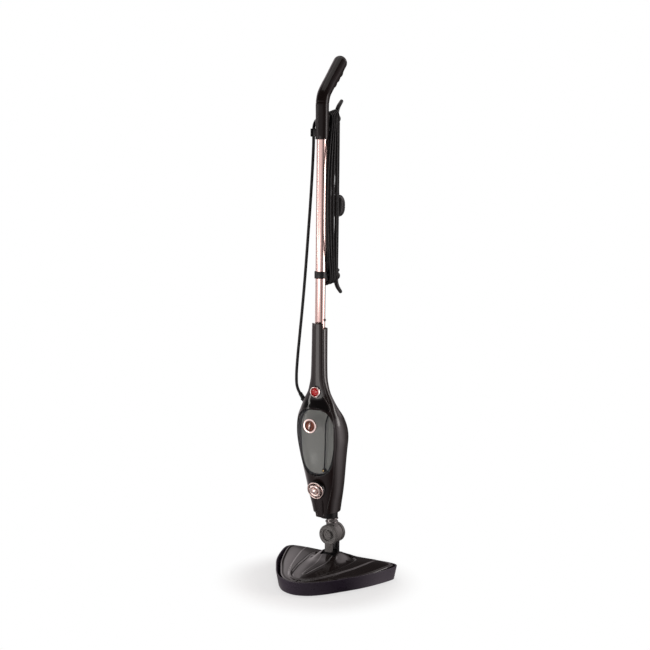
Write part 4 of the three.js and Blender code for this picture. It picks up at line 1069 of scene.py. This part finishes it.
def make_rear_shell():
    def edge(z):
        return seam(z) + 0.35 / between(SECTIONS, z, 1)

    rear = shell(REAR_LOW, REAR_HIGH, 130, 84, lambda z: (edge(z), TAU - edge(z)))
    gland, axis = np.array(GLAND, float), np.array(GLAND_AXIS)
    holes = [drill(5.6, gland - axis * 12, gland + axis * 12, 40)]
    holes += [drill(2.6, (x, 20, z), (x, 80, z), 28) for x, z in BODY_SCREWS]
    for i in range(7):
        half, z = 16 - abs(i - 3) * 1.5, 226 + 8 * i
        holes.append(block((-half, 50, z), (half, 80, z + 2.6), 0.0))
    piece(combine(rear, holes), "rear_casing", "main", "gloss", "rear_shell", crease=40)
    for i, (x, z) in enumerate(BODY_SCREWS):
        rear_y = body_point(z, math.pi - math.asin(x / between(SECTIONS, z, 1)))[1]
        profile = [(0, 0), (1.4, 0), (1.4, 9.8), (2.3, 9.8), (2.3, 11.4), (1.6, 12.2), (0, 12.2)]
        screw = revolve(fillet(profile, 0.2, 2), (x, rear_y - 13, z), BEHIND, 28)
        slots = [block((x - 1.5, rear_y - 2, z - 0.3), (x + 1.5, rear_y + 2, z + 0.3), 0.0),
                 block((x - 0.3, rear_y - 2, z - 1.5), (x + 0.3, rear_y + 2, z + 1.5), 0.0)]
        piece(combine(screw, slots), f"casing_screw_{i + 1}", "main", "steel", f"body_screw_{i + 1}")


# ---- tank and cap
TANK_FACE = between(SECTIONS, CAP_Z, 2) - 0.8


def make_tank():
    """Smoked tank: bevelled border, flatter face, and a pale liner behind it: an inner wall whose pale colour
    is raised to paint the light inside the tank.
    """
    hub = np.array([0, 322.0])
    rim = outline(TANK_HALF, 240)
    rings = []
    for t in reversed([1, 0.997, 0.99, 0.98, 0.965, *np.linspace(0.95, 0.02, 52)]):
        ring = []
        edges = (1 - t) * np.linalg.norm(rim - hub, axis=1)
        for (x, z), edge in zip(spoke(hub, rim, t), edges):
            bevel = 1.5 * (1 - float(smooth(edge, 5.2, 8.4)))
            ring.append((x, body_front(x, z, 0.75 - bevel - roll(edge, 2.4, 1.6)), z))
        rings.append(ring)
    rings += [[(x, TANK_BACK, z) for x, z in spoke(hub, rim, t)] for t in (1, 0.5)]
    skin = loft(rings)
    rim = outline(TANK_HALF, 160, -2.4)
    rings = [[(x, body_front(x, z, -2.2 - 1.5 * float(smooth(t, 0.8, 1))), z) for x, z in spoke(hub, rim, t)]
             for t in (0.02, 0.3, 0.6, 0.8, 0.9, 0.96, 1)]
    rings += [[(x, TANK_BACK - 2.4, z) for x, z in spoke(hub, rim, t)] for t in (1, 0.5)]
    hollow = loft(rings)
    filler = drill(9, (0, -60, CAP_Z), (0, -30, CAP_Z), 48)
    outlet = drill(2.2, (-14, -12, 249.5), (-14, 0, 249.5), 20)
    piece(combine(skin, [hollow, filler, outlet]), "tank_skin", "main", "tank", "water_tank", crease=40)

    # Pale inner wall behind the tank; its raised pale colour is painted light
    rim = outline(TANK_HALF, 120, -3.4)
    liner = loft([[(x, TANK_BACK - gap, z) for x, z in spoke(hub, rim, t)]
                  for t, gap in ((0.3, 3.8), (1, 3.8), (1, 2.8), (0.3, 2.8))])
    piece(liner, "tank_liner_painted_light", "main", "tank_painted_light")

    tube = spline([(29, -15.5, 379), (26.5, -16, 372), (24, -16.5, 362), (23, -16.5, 345),
                   (22.5, -16, 310), (21.5, -15.5, 275), (20.5, -15, 262)], 60)
    piece(sweep(tube, 1.5, 12), "suction_tube", "main", "rubber")
    profile = fillet([(0, 0), (4.4, 0), (4.4, 5), (2.4, 7), (0, 7)], 0.6)
    piece(revolve(profile, (19.5, -10.6, 256), AHEAD, 36), "suction_filter", "main", "black")
    piece(rod(1.9, (19.5, -17, 256), (19.5, -18.8, 256), 0.4, 24), "filter_nozzle", "main", "brass")


def make_cap():
    """Filler cap: bright ring, dark dish and a rounded lever across it. The dish's near-black rose gold is
    painted shade and dark reflection.
    """
    profile = fillet([(12.4, 1), (12.2, 0), (15.4, 0), (15.9, 1.6), (15.8, 3.9), (15.1, 4.6), (12.2, 4.4),
                      (11.5, 3.6), (11.8, 1.8), (12.4, 1)], 0.5)
    bezel = revolve(profile, (0, TANK_FACE - 0.5, CAP_Z), AHEAD, 96)
    piece(bezel, "cap_bezel", "filler_cap", "rose_bright", "cap_ring", crease=50)
    face = TANK_FACE - 3.4
    profile = fillet([(0, 0), (11.2, 0), (11.2, 1.2), (9.4, 1.5), (8.2, 0.9), (0, 0.7)], 0.3)
    dish = revolve(profile, (0, face, CAP_Z), AHEAD, 80)
    piece(dish, "cap_dish", "filler_cap", "rose_painted_shade", crease=50)
    lever = spline([(x, face - out, CAP_Z + rise) for x, out, rise in (
        (-1.0, 0.9, -8.2), (-0.6, 1.9, -5), (0.2, 2.4, 0), (0.9, 1.9, 5), (1.2, 0.9, 8.2))], 24)
    radii = 1.3 + 1.2 * np.sin(np.linspace(0, math.pi, 24))
    piece(sweep(lever, radii), "cap_lever", "filler_cap", "rose_bright", "cap_core", crease=60)


# ---- knob and button
def flutes(angles, radius, h):
    """Radius round the steam knob, with six grip flutes cut into its upper edge."""
    wave = np.clip(np.cos(6 * (angles - math.pi / 6)), 0, 1) ** 2.2
    depth = 2.3 * wave * float(smooth(h, 2.2, 4.2)) * float(smooth(radius, 11.5, 14.5))
    return np.full(len(angles), float(radius)) - depth


def make_knob():
    def turned(profile, distance, segments, row, shape=None, crease=50):
        """Piece turned about the knob's axis, from a distance off its seat."""
        piece(revolve(profile, from_knob(distance), KNOB_NORMAL, segments, shape), *row, crease=crease)

    profile = [(16.5, 0), (16.5, -5.5), (20.4, -5.5), (20.4, 1.6), (19.4, 2.2), (18, 1.6), (17.8, 0.6),
               (16.5, 0.5), (16.5, 0)]
    turned(fillet(profile, 0.5), 7, 96, ("knob_skirt", "main", "inlay"))
    trim = [(18.3 + 1.25 * math.cos(a), 2.1 + 1.5 * math.sin(a)) for a in np.linspace(0, TAU, 20)]
    turned(trim, 7, 96, ("knob_trim", "main", "rose_bright", "knob_bezel"), crease=60)

    profile = fillet([(0, 0), (15.8, 0), (16, 5.6), (15.5, 8.6), (13.6, 10.6), (11.6, 11), (8.7, 10.9),
                      (8.3, 9.6), (0, 9.6)], 0.8, 5)
    dense = []
    for a, b in zip(profile[:-1], profile[1:]):
        steps = max(int(np.linalg.norm(b - a) / 0.8), 1)
        dense += [a + (b - a) * k / steps for k in range(steps)]
    turned([*dense, profile[-1]], 2.4, 180, ("knob_grip", "knob", "rose_bright", "steam_knob"), flutes)
    profile = [(0, 0), (7.8, 0), (7.7, 2.0), (6.4, 3.1), (5.0, 3.0), (3.6, 3.5), (0, 3.7)]
    turned(fillet(profile, 0.6), 12.4, 64, ("knob_boss", "knob", "rose_bright", "knob_cap"))


def make_button():
    face = between(SECTIONS, BUTTON_Z, 2)
    profile = fillet([(9.0, 0), (8.8, -1.4), (11.6, -1.4), (12, 0.6), (11.4, 2.0), (10.4, 2.5), (9.4, 2.0),
                      (9.0, 0)], 0.5)
    bezel = revolve(profile, (0, face - 2.9, BUTTON_Z), AHEAD, 96)
    piece(bezel, "button_bezel", "main", "rose_bright", "button_ring", crease=50)
    dome = [(8.3 * math.cos(a), 7.2 + 3.1 * math.sin(a)) for a in np.linspace(0, math.pi / 2, 14)]
    dome = revolve([(0, 0), (8.3, 0), (8.3, 3), *dome], (0, face + 5.5, BUTTON_Z), AHEAD)
    piece(dome, "red_dome", "button", "red", "power_button")


# ---- pole, handle, hooks
def make_pole():
    profile = [(9.9, 300), (9.9, 0), (10.9, 0), (POLE_R, 0.2), (POLE_R, 240), (POLE_R, 482), (9.9, 482),
               (9.9, 300)]
    tube = revolve(profile, (0, POLE_Y, 530), UP, 128)
    tube = combine(tube, [drill(3.4, (0, POLE_Y, SNAP_Z), (20, POLE_Y, SNAP_Z), 32)])
    piece(tube, "pole_tube", "main", "rose", "pole", crease=40)
    profile = fillet([(0, 0), (3, 0), (3, 4.2), (2.2, 5.2), (0, 5.2)], 0.8, 5)
    button = revolve(profile, (8.4, POLE_Y, SNAP_Z), RIGHT, 40)
    piece(button, "pole_lock", "snap", "chrome", "snap_button")


FINGER_PITCH = 17
TIP_SWELL = 1.3


def make_handle():
    """Socket, sleeve, bend and grip in one skin, with finger waves under the grip."""
    line = [(0, 980), (0, 1000), (0, 1020), (0, 1040), (5, 1058), (20, 1076), (46, 1101), (74, 1128)]
    path = spline([(0, POLE_Y + back, z) for back, z in line], 150)
    along = np.concatenate([[0], np.cumsum(np.linalg.norm(np.diff(path, axis=0), axis=1))])
    total = along[-1]
    tangents = np.gradient(path, axis=0)
    angles = round_angles(96)
    under_side = np.exp(-((np.abs(((angles + math.pi) % TAU) - math.pi) - math.pi) / 0.75) ** 2)

    def section(centre, tangent, radius, s):
        tangent = unit(tangent)
        back = np.array([0, tangent[2], -tangent[1]])
        grip = float(smooth(s, 96, 118))
        wave = 0.5 - 0.5 * math.cos(TAU * (s - 112) / FINGER_PITCH)
        bumps = grip * float(1 - smooth(s, total - 22, total - 10)) * (2.0 + 2.6 * wave)
        reach = radius + bumps * under_side * (radius / GRIP_R)
        across = (reach * (1 - 0.05 * grip) * np.sin(angles))[:, None] * np.array([1.0, 0, 0])
        return centre + across - (reach * np.cos(angles))[:, None] * back

    rings = [at_level(np.stack([r * np.sin(angles), POLE_Y - r * np.cos(angles)], 1), z)
             for z, r in ((1013, 11.35), (990, 11.35), (967, 11.35), (966.4, 11.6), (966, 12.2),
                          (966, 13.2), (966.3, 13.7), (967, SLEEVE_R))]
    for p, t, s in zip(path, tangents, along):
        growth = (GRIP_R - SLEEVE_R) * float(smooth(s, 30, 90))
        swell = SLEEVE_R + growth + TIP_SWELL * float(smooth(s, 100, total))
        pinch = -0.35 * math.exp(-((s - 62) ** 2))
        rings.append(section(p, t, swell + pinch, s))
    end, way = path[-1], unit(tangents[-1])
    for k in range(1, 13):
        a = k / 12 * math.pi / 2
        radius = (GRIP_R + TIP_SWELL) * max(math.cos(a), 0.01)
        rings.append(section(end + way * (GRIP_R * math.sin(a) - 0.3), way, radius, total))
    piece(loft(rings), "grip_and_sleeve", "main", "handle", "handle", crease=45)


def make_clip():
    body = block((CLIP_X - 4.8, POLE_Y - 7, CLIP_Z - 8.5), (-8, POLE_Y + 7, CLIP_Z + 8.5), 1.2)
    saddle = drill(SLEEVE_R + 0.3, (0, POLE_Y, CLIP_Z - 20), (0, POLE_Y, CLIP_Z + 20), 96)
    lane = POLE_Y - 1
    channel = drill(CORD_R + 0.5, (CLIP_X, lane, CLIP_Z - 20), (CLIP_X, lane, CLIP_Z + 20), 40)
    mouth = block((CLIP_X - 2.2, POLE_Y - 12, CLIP_Z - 12), (CLIP_X + 2.2, lane, CLIP_Z + 12), 0.0)
    piece(combine(body, [saddle, channel, mouth]), "cord_keeper", "main", "black", "cord_clip")


def arm_bars(foot_y, back, z):
    """Peg from foot_y to past the hank, and the thin nose that its hook turns on."""
    peg = rod(PEG_R, (0, foot_y, z), (0, back, z), 0.8, 56)
    return peg, rod(3.2, (0, back - 1, z), (0, back + 7.5, z), 0.5, 32)


def make_hooks():
    foot = block((-9, POLE_Y + 8, PEG_TOP - 17), (9, POLE_Y + SLEEVE_R + 3.5, PEG_TOP + 7), 1.6)
    seat = drill(SLEEVE_R + 0.3, (0, POLE_Y, PEG_TOP - 30), (0, POLE_Y, PEG_TOP + 30), 96)
    bars = arm_bars(POLE_Y + SLEEVE_R + 1.5, HANK_BACK + 3, PEG_TOP)
    piece(joined(combine(foot, [seat]), *bars), "upper_arm", "main", "black", "upper_hook_arm")

    profile = fillet([(11.35, 7), (11.35, 0), (13.2, 0), (13.2, 15), (11.35, 15), (11.35, 7)], 0.6)
    band = revolve(profile, (0, POLE_Y, PEG_LOW), UP, 96)
    foot = block((-8, POLE_Y + POLE_R + 1.2, PEG_LOW - 7.5), (8, POLE_Y + POLE_R + 7.5, PEG_LOW + 15), 1.4)
    bars = arm_bars(POLE_Y + POLE_R + 5, HANK_BACK + 9, PEG_LOW)
    piece(joined(band, foot, *bars), "lower_arm", "main", "black", "lower_hook_arm")

    for node, name, body, y, z, up in (
        ("upper_hook", "upper_prong", "top_hook", HANK_BACK + 3.4, PEG_TOP, 1),
        ("lower_hook", "lower_prong", "bottom_hook", HANK_BACK + 9.4, PEG_LOW, -1),
    ):
        hub = revolve(fillet([(0, 0), (9, 0), (9, 7.4), (0, 7.4)], 1.3, 5), (0, y, z), BEHIND)
        long_side = ((4, 3), (6, 16), (11.5, 25), (19, 32), (25, 37))
        line = spline([(0, y + out, z + up * rise) for out, rise in long_side], 40)
        prong = sweep(line, 4.9 - 0.9 * np.linspace(0, 1, 40) ** 2, 28)
        short_side = ((4, 3), (7, 9.5), (12, 11.5))
        line = spline([(0, y + out, z - up * rise) for out, rise in short_side], 16)
        bore = drill(3.55, (0, y - 1, z), (0, y + 7.6, z), 32)
        piece(combine(joined(hub, prong, sweep(line, 3.9, 24)), [bore]), name, body, "black", node)


def make_gland():
    bore = CORD_R + 0.3
    profile = [(bore, 0), (bore, -8.8), (5.2, -8.8), (5.2, 5), (5.8, 5.1), (6.2, 5.6), (6.2, 7), (5.8, 7.8)]
    profile += [(r, 8.2 + h) for r, h in ribbed(5.0, 4.5, 11.8, 4)] + [(bore, 20), (bore, 0)]
    piece(revolve(profile, GLAND, GLAND_AXIS, 48), "cord_relief", "main", "rubber", "cord_gland", crease=45)


# ---- everything
cord, cord_path, cord_length = make_cord()
plug_pieces = make_plug()
for make in (make_gland, make_tray, make_cover, make_sole, make_pad, make_saddle, make_fork, make_stem,
             make_front_shell, make_badge, make_rear_shell, make_tank, make_cap, make_knob, make_button,
             make_pole, make_handle, make_clip, make_hooks):
    make()

# What is inside keeps its CAD shape
INSIDE = {
    "steel": ("head_screw_left", "head_screw_right", "thermostat", "snap_spring"),
    "silicone": ("steam_distributor", "cap_seal", "tank_outlet", "inlet_hose", "pressure_hose", "steam_hose"),
    "hooks": ("hook_strip",),
    "black": ("switch_housing", "water_pump", "cord_clamp"),
    "alloy": ("boiler",),
    "brass": ("steam_valve",),
    "rubber": ("pump_mounts",),
    "board": ("control_board",),
}
for finish, names in INSIDE.items():
    for node_name in names:
        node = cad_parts[node_name]
        node.data.materials.clear()
        node.data.materials.append(FINISH[finish][0])
